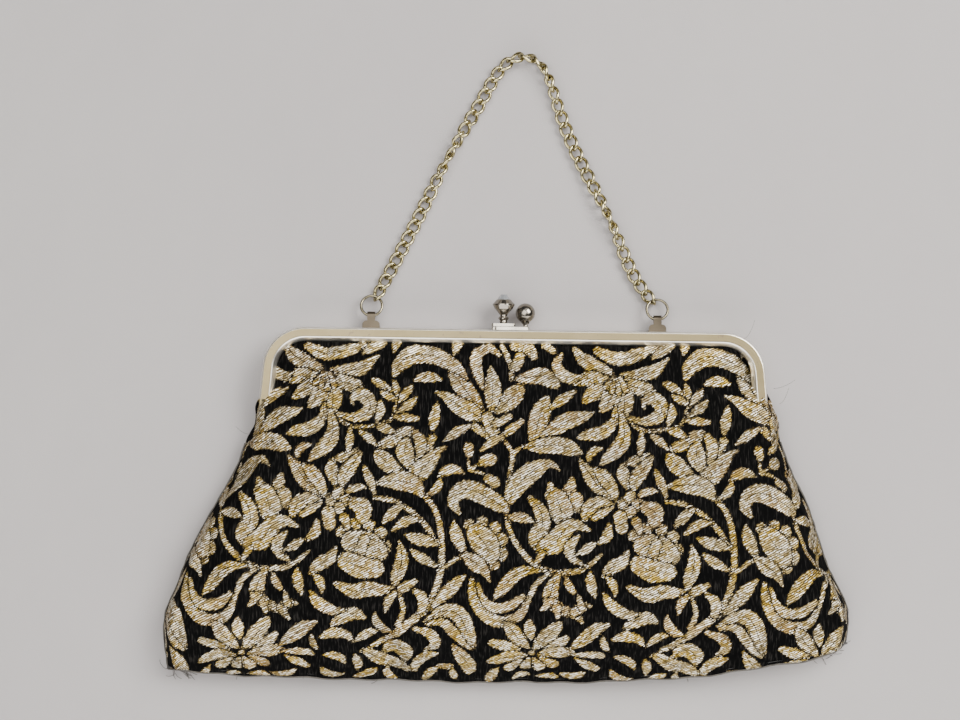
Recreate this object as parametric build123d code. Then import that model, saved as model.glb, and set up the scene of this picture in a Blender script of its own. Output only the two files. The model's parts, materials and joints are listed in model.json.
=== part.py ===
"""Framed clutch purse with a kiss-lock clasp and a chain handle, lying closed on its back.

X runs along the frame, +Y towards the handle and +Z out of the front panel. Millimetres.
The origin is under the middle of the pouch, on the surface that it lies on.
"""
from build123d import *
import math
import os

# ---- Driving dimensions -------------------------------------------------------------------
# Frame: two rolled channels, each a U of a bar and two legs, riveted together at the leg ends.
frame_width = 203.0
leg_splay = 2.75
frame_height = 33.0
corner_radius = 17.0
band_width = 5.6
bead_width = 1.8
half_depth = 6.2
channel_wall = 0.8
lip_depth = 2.6
flange_width = 4.2
edge_round = 0.9
bead_round = 1.2
split_gap = 0.3
rest_gap = 0.3

# Hinge ears and rivets at the leg ends.
ear_radius = 3.6
ear_thickness = 0.8
ear_gap = 0.2
ear_neck = 3.2
hinge_pin_radius = 1.2
pin_head_radius = 2.1
pin_head_height = 0.7
running_clearance = 0.05
turning_clearance = 0.6

# Pouch outline and fullness.
pouch_height = 139.0
mouth_overhang = 4.5
base_width = 273.0
base_corner = 28.0
mouth_depth = 12.5
middle_depth = 16.0
full_depth = 18.5
base_edge_low = 3.5
base_edge_high = 12.5
base_roll = 4.5
mouth_setback = 2.8
leg_notch_depth = 6.2
slope_overlap = 5.0
slope_lead = 0.4
back_trim = 0.2
seam_height = 7.0
seam_gap = 0.1

# Layers of the pouch, from the outside in.
brocade = 0.8
interlining = 0.4
lining = 0.4
layer_gap = 0.1
board_thickness = 1.0

# Cloth edges gripped in the channels, and the cord that wedges each one.
panel_height_in_channel = 2.3
lining_height_in_channel = 1.5
panel_edge_inset = 1.3
filler_radius = 1.0
filler_inset = 2.5
grip_clearance = 0.1

# Clasp: an upright finial on the back bar and a ball on the front bar.
knob_spacing = 8.8
clasp_plate = 1.2
clasp_clearance = 0.25
tongue_thickness = 1.1
finial_plate_width = 9.4
finial_forward = 1.6
finial_rise = 14.2
finial_rim_radius = 4.45
finial_rim_height = 10.2
finial_neck_radius = 1.45
crystal_radius = 2.4
crystal_table_radius = 1.25
crystal_height = 2.0
ball_radius = 3.95
ball_height = 6.9
ball_setback = 1.2
ball_stem_radius = 0.95
socket_clearance = 0.05
rivet_radius = 0.7
rivet_upset_radius = 1.15
rivet_upset_height = 0.5

# Chain tabs, rings and the chain.
tab_spacing = 115.2
tab_width = 7.0
tab_neck = 3.2
tab_plate = 0.8
tab_shoulder = 3.1
eye_height = 5.2
eye_bore = 0.8
ring_radius = 4.25
ring_wire = 0.55
ring_droop = 18.0
ring_play = 0.15
link_count = 46
link_wire = 0.5
link_half_width = 2.3
link_slack = 0.26
link_twist = 45.0
link_sides = 12
chain_rest_height = 1.8

# ---- Places that follow from the dimensions ------------------------------------------------
bottom_y = -pouch_height / 2
top_y = bottom_y + pouch_height
hinge_y = top_y - frame_height
mid_z = rest_gap + half_depth + split_gap / 2
leg_end_y = hinge_y + ear_radius + turning_clearance
mouth_y = hinge_y - mouth_setback
tab_x = tab_spacing / 2
bar_width = frame_width - 2 * leg_splay
mouth_width = frame_width + 2 * mouth_overhang
FRONT, BACK = 1, -1
big = 400.0

# The chain's course from ring to ring: (x, height above the bar's top edge). The first and the
# last points come from the rings.
chain_course = [
    (-46.6, 30.4), (-38.4, 46.8), (-29.4, 65.6), (-20.2, 82.4), (-12.0, 97.0),
    (-6.0, 106.4), (1.2, 110.6), (8.4, 108.4), (12.8, 101.4), (16.2, 91.4),
    (22.8, 74.6), (31.8, 57.4), (40.0, 41.0), (46.6, 25.4),
]
# How far the chain has rolled about its own line at each link number, in degrees.
roll_links = [0, 3, 9, 17, 20, 24, 27, 30, 34, 42, 46]
roll_angles = [-45, 0, 0, -180, -200, -250, -300, -340, -350, -520, -495]


def placed(shape, x=0.0, y=0.0, z=0.0):
    """The shape moved to x, y, z."""
    return Pos(x, y, z) * shape


def block(x0, x1, y0, y1, z0, z1):
    """A box between two corners."""
    return placed(Box(x1 - x0, y1 - y0, z1 - z0), (x0 + x1) / 2, (y0 + y1) / 2, (z0 + z1) / 2)


def rod_x(radius, x0, x1, y, z):
    """A cylinder along X."""
    return placed(Rot(0, 90, 0) * Cylinder(radius, x1 - x0), (x0 + x1) / 2, y, z)


def rod_y(radius, x, y0, y1, z):
    """A cylinder along Y."""
    return placed(Rot(90, 0, 0) * Cylinder(radius, y1 - y0), x, (y0 + y1) / 2, z)


# ---- Frame ----------------------------------------------------------------------------------
def frame_path(inset=0.0, start_y=leg_end_y):
    """The U of one frame half, inset from its outer edge, from the left leg to the right."""
    lean = leg_splay / (top_y - leg_end_y)
    foot_x = frame_width / 2 - inset - lean * (start_y - leg_end_y)
    head_x = bar_width / 2 - inset + lean * inset
    return FilletPolyline(
        (-foot_x, start_y), (-head_x, top_y - inset), (head_x, top_y - inset), (foot_x, start_y),
        radius=corner_radius - inset,
    )


def section_plane(path, half):
    """The plane across the left leg's foot: local x is inward and local y leads away from mid_z."""
    tangent = path % 0
    inward = Vector(tangent.Y, -tangent.X, 0)
    origin = path @ 0 + Vector(0, 0, mid_z)
    plane = Plane(origin=origin, x_dir=inward, z_dir=tangent)
    return plane, -half


def channel(half):
    """One half's rolled channel: outer wall, face, sloped bead and lip, and the back flange."""
    path = frame_path()
    plane, sign = section_plane(path, half)
    low, high = split_gap / 2, split_gap / 2 + half_depth
    face, wall = band_width - bead_width, channel_wall
    slope = wall * math.tan(math.radians(22.5))
    outline = [
        (0, low), (0, high), (face, high), (band_width, high - bead_width),
        (band_width, high - lip_depth), (band_width - wall, high - lip_depth),
        (band_width - wall, high - bead_width - slope), (face - slope, high - wall),
        (wall, high - wall), (wall, low + wall), (flange_width, low + wall), (flange_width, low),
    ]
    profile = Polygon(*[(u, sign * w) for u, w in outline], align=None)
    for corner, radius in (((0, high), edge_round), ((face, high), bead_round),
                           ((band_width, high - bead_width), bead_round)):
        target = Vector(corner[0], sign * corner[1])
        vertex = min(profile.vertices(), key=lambda v: (Vector(v.X, v.Y) - target).length)
        profile = fillet(vertex, radius)
    return sweep(plane * profile, path=Pos(0, 0, mid_z) * path)


def hinge_ear(half, side):
    """The flat ear that the leg ends in. The front half's ears lie outside the back half's."""
    outer = frame_width / 2 if half == FRONT else frame_width / 2 - ear_thickness - ear_gap
    inner = outer - ear_thickness
    bore = hinge_pin_radius + (running_clearance if half == FRONT else 0)
    disc = rod_x(ear_radius, inner, outer, hinge_y, mid_z)
    near, far = sorted([mid_z + half * split_gap / 2, mid_z + half * (split_gap / 2 + ear_neck)])
    neck = block(inner, outer, hinge_y, leg_end_y + 1, near, far)
    root_inner = frame_width / 2 - 2 * ear_thickness - ear_gap - channel_wall / 2
    root = block(root_inner, frame_width / 2, leg_end_y, leg_end_y + 2 * channel_wall, near, far)
    ear = disc + neck + root - rod_x(bore, inner - 1, outer + 1, hinge_y, mid_z)
    return ear if side > 0 else mirror(ear, about=Plane.YZ)


def frame_half(half):
    body = channel(half)
    for side in (-1, 1):
        body = body + hinge_ear(half, side)
    for x, w in rivet_places(half):
        body = body - rod_y(rivet_radius, x, top_y - 2 * channel_wall, top_y + 1, mid_z + half * w)
    return body


def hinge_pin(side):
    """A headed rivet through both ears of one side."""
    tip = frame_width / 2
    seat = tip - 2 * ear_thickness - ear_gap
    pin = rod_x(hinge_pin_radius, seat, tip + running_clearance, hinge_y, mid_z)
    outer = rod_x(pin_head_radius, tip + running_clearance,
                  tip + running_clearance + pin_head_height, hinge_y, mid_z)
    outer = chamfer(outer.faces().sort_by(Axis.X)[-1].edges(), pin_head_height / 2)
    pin = pin + outer + rod_x(pin_head_radius, seat - pin_head_height, seat, hinge_y, mid_z)
    return pin if side > 0 else mirror(pin, about=Plane.YZ)


# ---- Clasp ----------------------------------------------------------------------------------
finial_x, ball_x = -knob_spacing / 2, knob_spacing / 2
plate_near, plate_far = 0.5, 5.4
plate_rivet_w = 3.6
front_plate_left, front_plate_right = finial_x - 3.4, ball_x + 1.5
back_plate_left, back_plate_right = finial_x - finial_plate_width / 2, finial_x + finial_plate_width / 2
tongue_low = clasp_plate + clasp_clearance
tongue_high = tongue_low + tongue_thickness
finial_pivot_height = tongue_high + 0.7
finial_root_radius = 1.5
ball_pivot_height = clasp_plate + 0.45
ball_root_w = 2.0
tab_rivet_w = 3.4


def rivet_places(half):
    """(x, distance from mid_z) of each flush rivet through the bar's outer wall."""
    if half == FRONT:
        return [(front_plate_left + 1.6, plate_rivet_w), (front_plate_right - 5.0, plate_rivet_w)]
    clasp = [(back_plate_left + 1.8, plate_rivet_w), (back_plate_right - 1.8, plate_rivet_w)]
    return clasp + [(-tab_x, tab_rivet_w), (tab_x, tab_rivet_w)]


def flush_rivet(x, w, half, plate):
    """A rivet through a plate on the bar: flush outside and upset inside the channel."""
    z = mid_z + half * w
    inside = top_y - channel_wall
    shank = rod_y(rivet_radius, x, inside, top_y + plate, z)
    return shank + rod_y(rivet_upset_radius, x, inside - rivet_upset_height, inside, z)


def riveted_plate(left, right, near, far, half, rivets, thickness):
    """A plate that lies on the bar's outer wall, with its rivet holes."""
    z0, z1 = sorted([mid_z + half * near, mid_z + half * far])
    plate = block(left, right, top_y, top_y + thickness, z0, z1)
    plate = fillet(plate.edges().filter_by(Axis.Y), 0.9)
    for x, w in rivets:
        plate = plate - rod_y(rivet_radius, x, top_y - 1, top_y + thickness + 1, mid_z + half * w)
    return plate


def finial_plate():
    """The back bar's clasp plate, whose tongue reaches forward over the front bar's plate."""
    rivets = rivet_places(BACK)[:2]
    plate = riveted_plate(back_plate_left, back_plate_right, plate_near, plate_far, BACK,
                          rivets, clasp_plate)
    half_tongue = 2.6
    riser = block(finial_x - half_tongue, finial_x + half_tongue, top_y, top_y + tongue_high,
                  mid_z - plate_near - 1.2, mid_z - plate_near)
    tongue = block(back_plate_left, back_plate_right, top_y + tongue_low, top_y + tongue_high,
                   mid_z - plate_near - 1.2, mid_z + finial_forward + 2.9)
    tongue = fillet(tongue.edges().filter_by(Axis.Y), 1.0)
    socket = Sphere(finial_root_radius + socket_clearance)
    pivot = (finial_x, top_y + finial_pivot_height, mid_z + finial_forward)
    return plate + riser + tongue - placed(socket, *pivot)


def ball_plate():
    """The front bar's clasp plate, with the socket of the ball's stem."""
    plate = riveted_plate(front_plate_left, front_plate_right, plate_near, plate_far, FRONT,
                          rivet_places(FRONT), clasp_plate)
    socket = Sphere(ball_stem_radius + socket_clearance)
    return plate - placed(socket, ball_x, top_y + ball_pivot_height, mid_z + ball_root_w)


def turned(profile, x, z):
    """A solid turned about the line along Y at x, z, from (radius, height above the bar) points."""
    closed = [(0, profile[0][1]), *profile, (0, profile[-1][1])]
    face = Polygon(*closed, align=None)
    return placed(revolve(face, axis=Axis.Y), x, top_y, z)


crystal_seat = finial_rise - crystal_height
finial_profile = [
    (finial_root_radius, finial_pivot_height), (finial_root_radius * 0.95, finial_pivot_height + 0.5),
    (finial_neck_radius + 0.55, 4.35), (finial_neck_radius + 0.6, 4.8), (finial_neck_radius, 5.6),
    (finial_neck_radius, 6.0), (finial_rim_radius * 0.72, 8.1), (finial_rim_radius * 0.8, 8.4),
    (finial_rim_radius, finial_rim_height - 0.25), (finial_rim_radius, finial_rim_height + 0.15),
    (crystal_radius + 0.5, crystal_seat - 0.15), (crystal_radius + 0.25, crystal_seat),
]


def finial():
    root = placed(Sphere(finial_root_radius), finial_x, top_y + finial_pivot_height,
                  mid_z + finial_forward)
    body = turned(finial_profile, finial_x, mid_z + finial_forward) + root
    return body - crystal_pocket()


def crystal_pocket():
    return rod_y(crystal_radius, finial_x, top_y + crystal_seat - 0.6, top_y + finial_rise,
                 mid_z + finial_forward)


def crystal():
    """An eight-sided stone with a flat table, bedded in the finial's top."""
    girdle = crystal_seat + 0.25
    base = extrude(Plane.XZ.offset(-(top_y + crystal_seat - 0.6)) * RegularPolygon(crystal_radius, 8),
                   -(girdle - crystal_seat + 0.6))
    crown = loft([
        Plane.XZ.offset(-(top_y + girdle)) * RegularPolygon(crystal_radius, 8),
        Plane.XZ.offset(-(top_y + finial_rise)) * RegularPolygon(crystal_table_radius, 8),
    ])
    return placed(base + crown, finial_x, 0, mid_z + finial_forward)


def ball_knob():
    """The ball on its stem, which leans back so that the ball snaps in behind the finial."""
    foot = Vector(ball_x, top_y + ball_pivot_height, mid_z + ball_root_w)
    centre = Vector(ball_x, top_y + ball_height, mid_z - ball_setback)
    reach = centre - foot
    stem_plane = Plane(origin=foot, z_dir=reach)
    stem = extrude(stem_plane * Circle(ball_stem_radius), reach.length)
    collar = extrude(stem_plane.offset(reach.length - ball_radius - 0.5) * Circle(1.6), 1.2)
    root = placed(Sphere(ball_stem_radius), *foot)
    return root + stem + collar + placed(Sphere(ball_radius), *centre)


# ---- Chain tabs, rings and chain -------------------------------------------------------------
eye_outer = eye_bore + 0.7
eye_y = top_y + eye_height
tab_front_z = mid_z - 0.2
eye_z = tab_front_z - eye_outer
ring_drop = (ring_radius - math.sqrt(ring_radius ** 2 - (tab_neck / 2) ** 2)) / 2


def chain_tab(side):
    """A bracket riveted on the back bar, whose neck curls round the ring's wire."""
    x = side * tab_x
    foot = riveted_plate(x - tab_width / 2, x + tab_width / 2, mid_z - tab_front_z, plate_far, BACK,
                         [(x, tab_rivet_w)], tab_plate)
    plate = block(x - tab_width / 2, x + tab_width / 2, top_y, top_y + tab_shoulder,
                  tab_front_z - tab_plate, tab_front_z)
    shoulders = plate.edges().filter_by(Axis.Z).group_by(Axis.Y)[-1]
    plate = fillet(shoulders, 1.7)
    neck = block(x - tab_neck / 2, x + tab_neck / 2, top_y + tab_shoulder - 1, eye_y,
                 tab_front_z - tab_plate, tab_front_z)
    eye = rod_x(eye_outer, x - tab_neck / 2, x + tab_neck / 2, eye_y, eye_z)
    bore = rod_x(eye_bore, x - tab_neck, x + tab_neck, eye_y, eye_z)
    return foot + plate + neck + eye - bore


def ring_frame(side):
    """The ring's centre, and the unit vector from its eye towards the chain."""
    droop = math.radians(ring_droop)
    out = Vector(0, math.cos(droop), -math.sin(droop))
    eye = Vector(side * tab_x, eye_y, eye_z)
    return eye + out * (ring_radius - ring_drop), out


def ring(side):
    centre, out = ring_frame(side)
    plane = Plane(origin=centre, x_dir=(1, 0, 0), z_dir=Vector(1, 0, 0).cross(out))
    return plane * Torus(ring_radius, ring_wire)


def ring_hook(side):
    """Where the chain's end joint hangs on the ring: a point just inside the ring's wire."""
    centre, out = ring_frame(side)
    lean = math.radians(27)
    direction = out * math.cos(lean) + Vector(-side, 0, 0) * math.sin(lean)
    return centre + direction * (ring_radius - ring_play - (link_wire + ring_wire + link_slack) / 2)


def interpolate(x, xs, ys):
    """Straight-line interpolation in a table."""
    for x0, x1, y0, y1 in zip(xs, xs[1:], ys, ys[1:]):
        if x <= x1:
            return y0 + (y1 - y0) * (x - x0) / (x1 - x0)
    return ys[-1]


def chain_roll(link):
    return interpolate(link, roll_links, roll_angles)


def chain_curve():
    """The chain's line over the surface that it lies on."""
    start, end = ring_hook(-1), ring_hook(1)
    flat = [(start.X, start.Y)] + [(x, top_y + h) for x, h in chain_course] + [(end.X, end.Y)]
    return Spline(*flat)


def chain_joints():
    """The points where the links hook into each other: link_count equal chords along the line."""
    curve = chain_curve()
    samples = [curve @ (i / 3000) for i in range(3001)]

    def march(chord):
        joints, last = [samples[0]], samples[0]
        for point in samples:
            if (point - last).length >= chord and len(joints) <= link_count:
                joints.append(point)
                last = point
        return joints

    low, high = curve.length / link_count * 0.9, curve.length / link_count * 1.05
    for _ in range(40):
        chord = (low + high) / 2
        if len(march(chord)) > link_count:
            low = chord
        else:
            high = chord
    joints = march(low)
    joints[-1] = samples[-1]
    return [Vector(j.X, j.Y, joint_height(i)) for i, j in enumerate(joints)]


def joint_height(joint):
    """A flat link lies low and one on edge stands higher; the ends rise to meet the rings."""
    lying = chain_rest_height + 1.4 * abs(math.sin(math.radians(chain_roll(joint))))
    near_end = min(joint, link_count - joint)
    hook = ring_hook(-1).Z
    return hook + (lying - hook) * min(1.0, near_end / 2)


def round_bar(start, end, radius):
    """A round bar between two points, with a ball at its end to turn the corner."""
    reach = end - start
    bar = extrude(Plane(origin=start, z_dir=reach) * Circle(radius), reach.length)
    return bar + placed(Sphere(radius), *end)


def link_shape(pitch):
    """A curb link along X: an oval of wire whose two ends are twisted opposite ways."""
    half_length = pitch / 2 + link_wire + link_slack / 2
    points = []
    for i in range(link_sides):
        turn = 2 * math.pi * i / link_sides
        twist = math.radians(link_twist) * math.cos(turn)
        out = link_half_width * math.sin(turn)
        points.append(Vector(half_length * math.cos(turn), out * math.cos(twist), out * math.sin(twist)))
    bars = [round_bar(a, b, link_wire) for a, b in zip(points, points[1:] + points[:1])]
    return sum(bars[1:], bars[0])


def handle_chain():
    joints = chain_joints()
    pitch = (joints[link_count // 2] - joints[link_count // 2 - 1]).length
    link = link_shape(pitch)
    links = []
    for i, (a, b) in enumerate(zip(joints, joints[1:])):
        along = (b - a).normalized()
        across = Vector(0, 0, 1).cross(along).normalized()
        plane = Plane(origin=(a + b) / 2, x_dir=along, z_dir=along.cross(across))
        links.append(plane * Rot(chain_roll(i + 0.5), 0, 0) * link)
    return Compound(children=links)


# ---- Pouch ----------------------------------------------------------------------------------
def pouch_sections():
    """(y, half width, lowest z, highest z, corner radius) of the pouch, from the base up."""
    mouth, base = mouth_width / 2, base_width / 2
    corner_y = bottom_y + base_corner
    middle_y = mouth_y - 0.3 * (mouth_y - corner_y)
    middle = mouth + 0.3 * (base - mouth)
    return [
        (bottom_y, base - 0.8 * base_roll, base_edge_low, base_edge_high, 3.0),
        (bottom_y + base_roll, base, 0.0, full_depth - 1.5, 6.0),
        (corner_y, base, 0.0, full_depth, 6.5),
        (middle_y, middle, 0.0, middle_depth, 6.0),
        (mouth_y, mouth, 0.0, mouth_depth, 5.0),
    ]


def pouch_solid(inset, past_mouth=0.0):
    """The pouch's volume, inset all round by the layers outside it, with a flat back."""
    wires = []
    for i, (y, half_width, low, high, corner) in enumerate(pouch_sections()):
        if i == 0:
            y = y + inset
        trimmed_low = low + inset - back_trim
        wires.append(section_at(y, half_width - inset, trimmed_low, high - inset, corner - inset))
    if past_mouth:
        wires.append(section_at(mouth_y + past_mouth, half_width - inset, trimmed_low, high - inset,
                                corner - inset))
    return loft(wires, ruled=True) & block(-big, big, -big, big, inset, big)


def section_at(y, half_width, low, high, corner):
    plane = Plane(origin=(0, y, (low + high) / 2), x_dir=(1, 0, 0), z_dir=(0, -1, 0))
    return plane * RectangleRounded(2 * half_width, high - low, max(0.5, corner))


def pouch_layer(outer, thickness):
    """One layer of the pouch, outer mm in from its outside."""
    return pouch_solid(outer) - pouch_solid(outer + thickness, past_mouth=3.0)


lining_inset = brocade + interlining + 2 * layer_gap
grip_y0 = leg_end_y + 3 * channel_wall


def front_part(layer):
    """The layer above the side and base seams, notched where the front legs swing."""
    half = layer & block(-big, big, -big, big, seam_height + seam_gap / 2, big)
    for side in (-1, 1):
        inner = frame_width / 2 - band_width - 1.5
        x0, x1 = sorted([side * inner, side * (frame_width / 2 + 1.2)])
        half = half - block(x0, x1, mouth_y + mouth_setback - leg_notch_depth, mouth_y + 1,
                            mid_z + 2.5, big)
    return half


def back_part(layer):
    return layer & block(-big, big, -big, big, -big, seam_height - seam_gap / 2)


def gripped_plate(half, height, thickness, lower_y):
    """A flat sheet inside the U of one frame half, its edges in the channel."""
    path = frame_path(inset=panel_edge_inset, start_y=grip_y0)
    outline = Wire(path.edges() + [Line(path @ 1, path @ 0)])
    z0, z1 = sorted([mid_z + half * height, mid_z + half * (height + thickness)])
    sheet = extrude(Pos(0, 0, z0) * make_face(outline.edges()), z1 - z0)
    inner = frame_width / 2 - band_width - 1.5
    skirt = block(-inner, inner, lower_y, grip_y0 + 1, z0, z1)
    return sheet + skirt


def back_slope(outer, thickness, height):
    """The stretch of the back that steps up from the surface to the back channel."""
    inner = frame_width / 2 - band_width - 1.5
    upper_low = mid_z - height - thickness
    points = [
        (mouth_y - slope_overlap, outer), (mouth_y + slope_lead, outer),
        (grip_y0 - slope_lead, upper_low), (grip_y0 + 0.5, upper_low),
        (grip_y0 + 0.5, upper_low + thickness), (grip_y0 - 2 * slope_lead, upper_low + thickness),
        (mouth_y, outer + thickness), (mouth_y - slope_overlap, outer + thickness),
    ]
    face = Plane.YZ * Polygon(*points, align=None)
    return placed(extrude(face, 2 * inner), -inner)


def back_layer(outer, thickness, height):
    """A whole back sheet: the pouch's lower back, the slope and the part in the channel."""
    lower = back_part(pouch_layer(outer, thickness))
    upper = gripped_plate(BACK, height, thickness, grip_y0)
    return lower + back_slope(outer, thickness, height) + upper


def back_interlining():
    """Buckram that stiffens the back between brocade and lining."""
    corner_y = bottom_y + base_corner
    z0 = brocade + layer_gap
    mouth, base = mouth_width / 2 - 10, base_width / 2 - 10
    outline = [(-base, bottom_y + 10), (base, bottom_y + 10), (base, corner_y),
               (mouth, mouth_y - 8), (-mouth, mouth_y - 8), (-base, corner_y)]
    return extrude(Pos(0, 0, z0) * make_face(Polyline(*outline, close=True)), interlining)


def front_interlining():
    """Buckram under the front brocade, clear of the rolled edges."""
    layer = pouch_layer(brocade + layer_gap, interlining)
    corner_y = bottom_y + base_corner
    mouth, base = mouth_width / 2 - 14, base_width / 2 - 14
    outline = [(-base, bottom_y + 10), (base, bottom_y + 10), (base, corner_y),
               (mouth, mouth_y - 8), (-mouth, mouth_y - 8), (-base, corner_y)]
    column = extrude(Pos(0, 0, seam_height + 2) * make_face(Polyline(*outline, close=True)), big)
    return layer & column


def base_board():
    """The card strip that keeps the base flat."""
    y0 = bottom_y + brocade + layer_gap
    half = base_width / 2 - base_roll - 4
    return block(-half, half, y0, y0 + board_thickness, base_edge_low + 2, base_edge_high - 2)


def lining_layer():
    """The lining's own shell, clear of the base board."""
    inset = lining_inset
    past_board = bottom_y + brocade + board_thickness + 3 * layer_gap
    outer = pouch_solid(inset) & block(-big, big, past_board, big, -big, big)
    inner = pouch_solid(inset + lining, past_mouth=3.0)
    inner = inner & block(-big, big, past_board + lining, big, -big, big)
    return outer - inner


def back_lining():
    upper = gripped_plate(BACK, lining_height_in_channel, lining, grip_y0)
    slope = back_slope(lining_inset, lining, lining_height_in_channel)
    return back_part(lining_layer()) + slope + upper


def filler_cord(half):
    """The paper cord that wedges the cloth in the channel."""
    path = frame_path(inset=filler_inset, start_y=grip_y0)
    lowest = panel_height_in_channel + brocade + grip_clearance
    origin = path @ 0 + Vector(0, 0, mid_z + half * (lowest + filler_radius))
    section = Plane(origin=origin, z_dir=path % 0) * Circle(filler_radius)
    return sweep(section, path=Pos(0, 0, origin.Z) * path)


def build():
    """Every node's shape by name."""
    parts = {
        "front_frame": frame_half(FRONT),
        "back_frame": frame_half(BACK),
        "hinge_pin_left": hinge_pin(-1),
        "hinge_pin_right": hinge_pin(1),
        "finial_plate": finial_plate(),
        "ball_plate": ball_plate(),
        "finial_knob": finial(),
        "finial_crystal": crystal(),
        "ball_knob": ball_knob(),
        "clasp_rivets_front": Compound(children=[
            flush_rivet(x, w, FRONT, clasp_plate) for x, w in rivet_places(FRONT)]),
        "clasp_rivets_back": Compound(children=[
            flush_rivet(x, w, BACK, clasp_plate) for x, w in rivet_places(BACK)[:2]]),
        "tab_rivets": Compound(children=[
            flush_rivet(x, w, BACK, tab_plate) for x, w in rivet_places(BACK)[2:]]),
        "chain_tab_left": chain_tab(-1),
        "chain_tab_right": chain_tab(1),
        "ring_left": ring(-1),
        "ring_right": ring(1),
        "handle_chain": handle_chain(),
        "front_panel_lower": front_part(pouch_layer(0, brocade)),
        "front_panel_upper": gripped_plate(FRONT, panel_height_in_channel, brocade, hinge_y - 1),
        "back_panel": back_layer(0, brocade, panel_height_in_channel),
        "front_interlining": front_interlining(),
        "back_interlining": back_interlining(),
        "front_lining_lower": front_part(lining_layer()),
        "front_lining_upper": gripped_plate(FRONT, lining_height_in_channel, lining, hinge_y - 1),
        "back_lining": back_lining(),
        "base_board": base_board(),
        "filler_cord_front": filler_cord(FRONT),
        "filler_cord_back": filler_cord(BACK),
    }
    return parts


os.makedirs("parts", exist_ok=True)
for name, shape in build().items():
    export_step(shape, f"parts/{name}.step")
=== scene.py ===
import json
import math
import random

import bpy
import numpy as np
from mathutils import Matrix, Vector


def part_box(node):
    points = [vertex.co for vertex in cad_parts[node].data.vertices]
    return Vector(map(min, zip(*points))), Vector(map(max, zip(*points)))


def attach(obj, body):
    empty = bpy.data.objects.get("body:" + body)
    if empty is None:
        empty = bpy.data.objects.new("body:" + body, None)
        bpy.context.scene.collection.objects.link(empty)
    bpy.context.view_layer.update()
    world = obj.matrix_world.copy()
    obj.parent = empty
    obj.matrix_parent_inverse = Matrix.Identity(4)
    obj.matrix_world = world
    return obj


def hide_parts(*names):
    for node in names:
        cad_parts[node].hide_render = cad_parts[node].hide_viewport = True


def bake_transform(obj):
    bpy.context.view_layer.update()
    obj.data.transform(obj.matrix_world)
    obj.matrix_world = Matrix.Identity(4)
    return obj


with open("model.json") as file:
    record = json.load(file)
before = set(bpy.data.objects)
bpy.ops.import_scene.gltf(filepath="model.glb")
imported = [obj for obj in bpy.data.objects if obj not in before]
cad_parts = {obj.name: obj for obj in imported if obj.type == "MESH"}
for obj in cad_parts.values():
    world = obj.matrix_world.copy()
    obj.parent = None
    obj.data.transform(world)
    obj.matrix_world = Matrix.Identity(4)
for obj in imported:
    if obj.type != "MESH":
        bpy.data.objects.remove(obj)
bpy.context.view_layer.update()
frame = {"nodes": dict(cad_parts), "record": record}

print("clutch purse: frame loaded")

# everything is worked out in millimetres from the metal frame and turned into metres at the end
mm = 0.001
barHigh = [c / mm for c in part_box("front_frame")[1]]
topY = barHigh[1]                         # top edge of the bar
frontFace = barHigh[2]                    # height of the front half's face
joints = frame["record"]["behaviour"]["joints"]
hinge = next(joint for joint in joints if joint["name"] == "frame_hinge")
hingeY = hinge["pos_m"][1] / mm - topY    # measured from the bar's top edge, so below zero
rootBody, frontBody, handleBody = "pouch_and_back_frame", "front_frame_half", "handle"


# camera, floor and light
studio = {
    "height": 800,             # camera above the floor, mm
    "view": 389,               # width of floor that the picture takes in, mm
    "sensor": 36,              # mm
    "centre": (-13.6, -12.2),  # middle of the picture from the bar's top middle, mm
    "roll": 0.8,               # the purse lies turned clockwise by this, degrees
    "floor": (0.315, 0.302, 0.296),
    "floorReach": 6.0,         # half the floor's width, m
    "world": 0.12,
    "worldTint": (1.0, 0.985, 0.97, 1),
    "sky": 0.95,
    "skyWidth": 70,            # degrees
    "skyTilt": (-28, 22),      # degrees about x and y
    "lamps": {                 # place and target in metres, size, power in watts, tint
        "window": ((0.75, 0.55, 0.95), (0, 0, 0), (0.9, 0.7), 33.0, (1.0, 0.98, 0.95)),
        "ceiling": ((-0.36, 0.2, 1.35), (0, 0, 0), (1.3, 1.1), 23.0, (1.0, 0.985, 0.965)),
        "nearSide": ((0.0, -0.75, 0.42), (0, 0.03, 0), (1.5, 0.8), 15.0, (1.0, 0.98, 0.96)),
    },
}


def aimAt(thing, target):
    direction = Vector(target) - thing.location
    thing.rotation_euler = direction.to_track_quat("-Z", "Y").to_euler()


def makeCamera():
    data = bpy.data.cameras.new("camera")
    camera = bpy.data.objects.new("camera", data)
    bpy.context.scene.collection.objects.link(camera)
    data.sensor_width = studio["sensor"]
    data.lens = studio["sensor"] * studio["height"] / studio["view"]
    data.clip_start, data.clip_end = 0.01, 20
    cx, cy = studio["centre"]
    camera.location = (cx * mm, (topY + cy) * mm, studio["height"] * mm)
    camera.rotation_euler = (0, 0, math.radians(studio["roll"]))
    bpy.context.scene.camera = camera


def areaLight(name, place, target, size, power, tint):
    data = bpy.data.lights.new(name, "AREA")
    data.shape = "RECTANGLE"
    data.size, data.size_y = size
    data.energy = power
    data.color = tint
    lamp = bpy.data.objects.new(name, data)
    bpy.context.scene.collection.objects.link(lamp)
    lamp.location = place
    aimAt(lamp, target)


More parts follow.
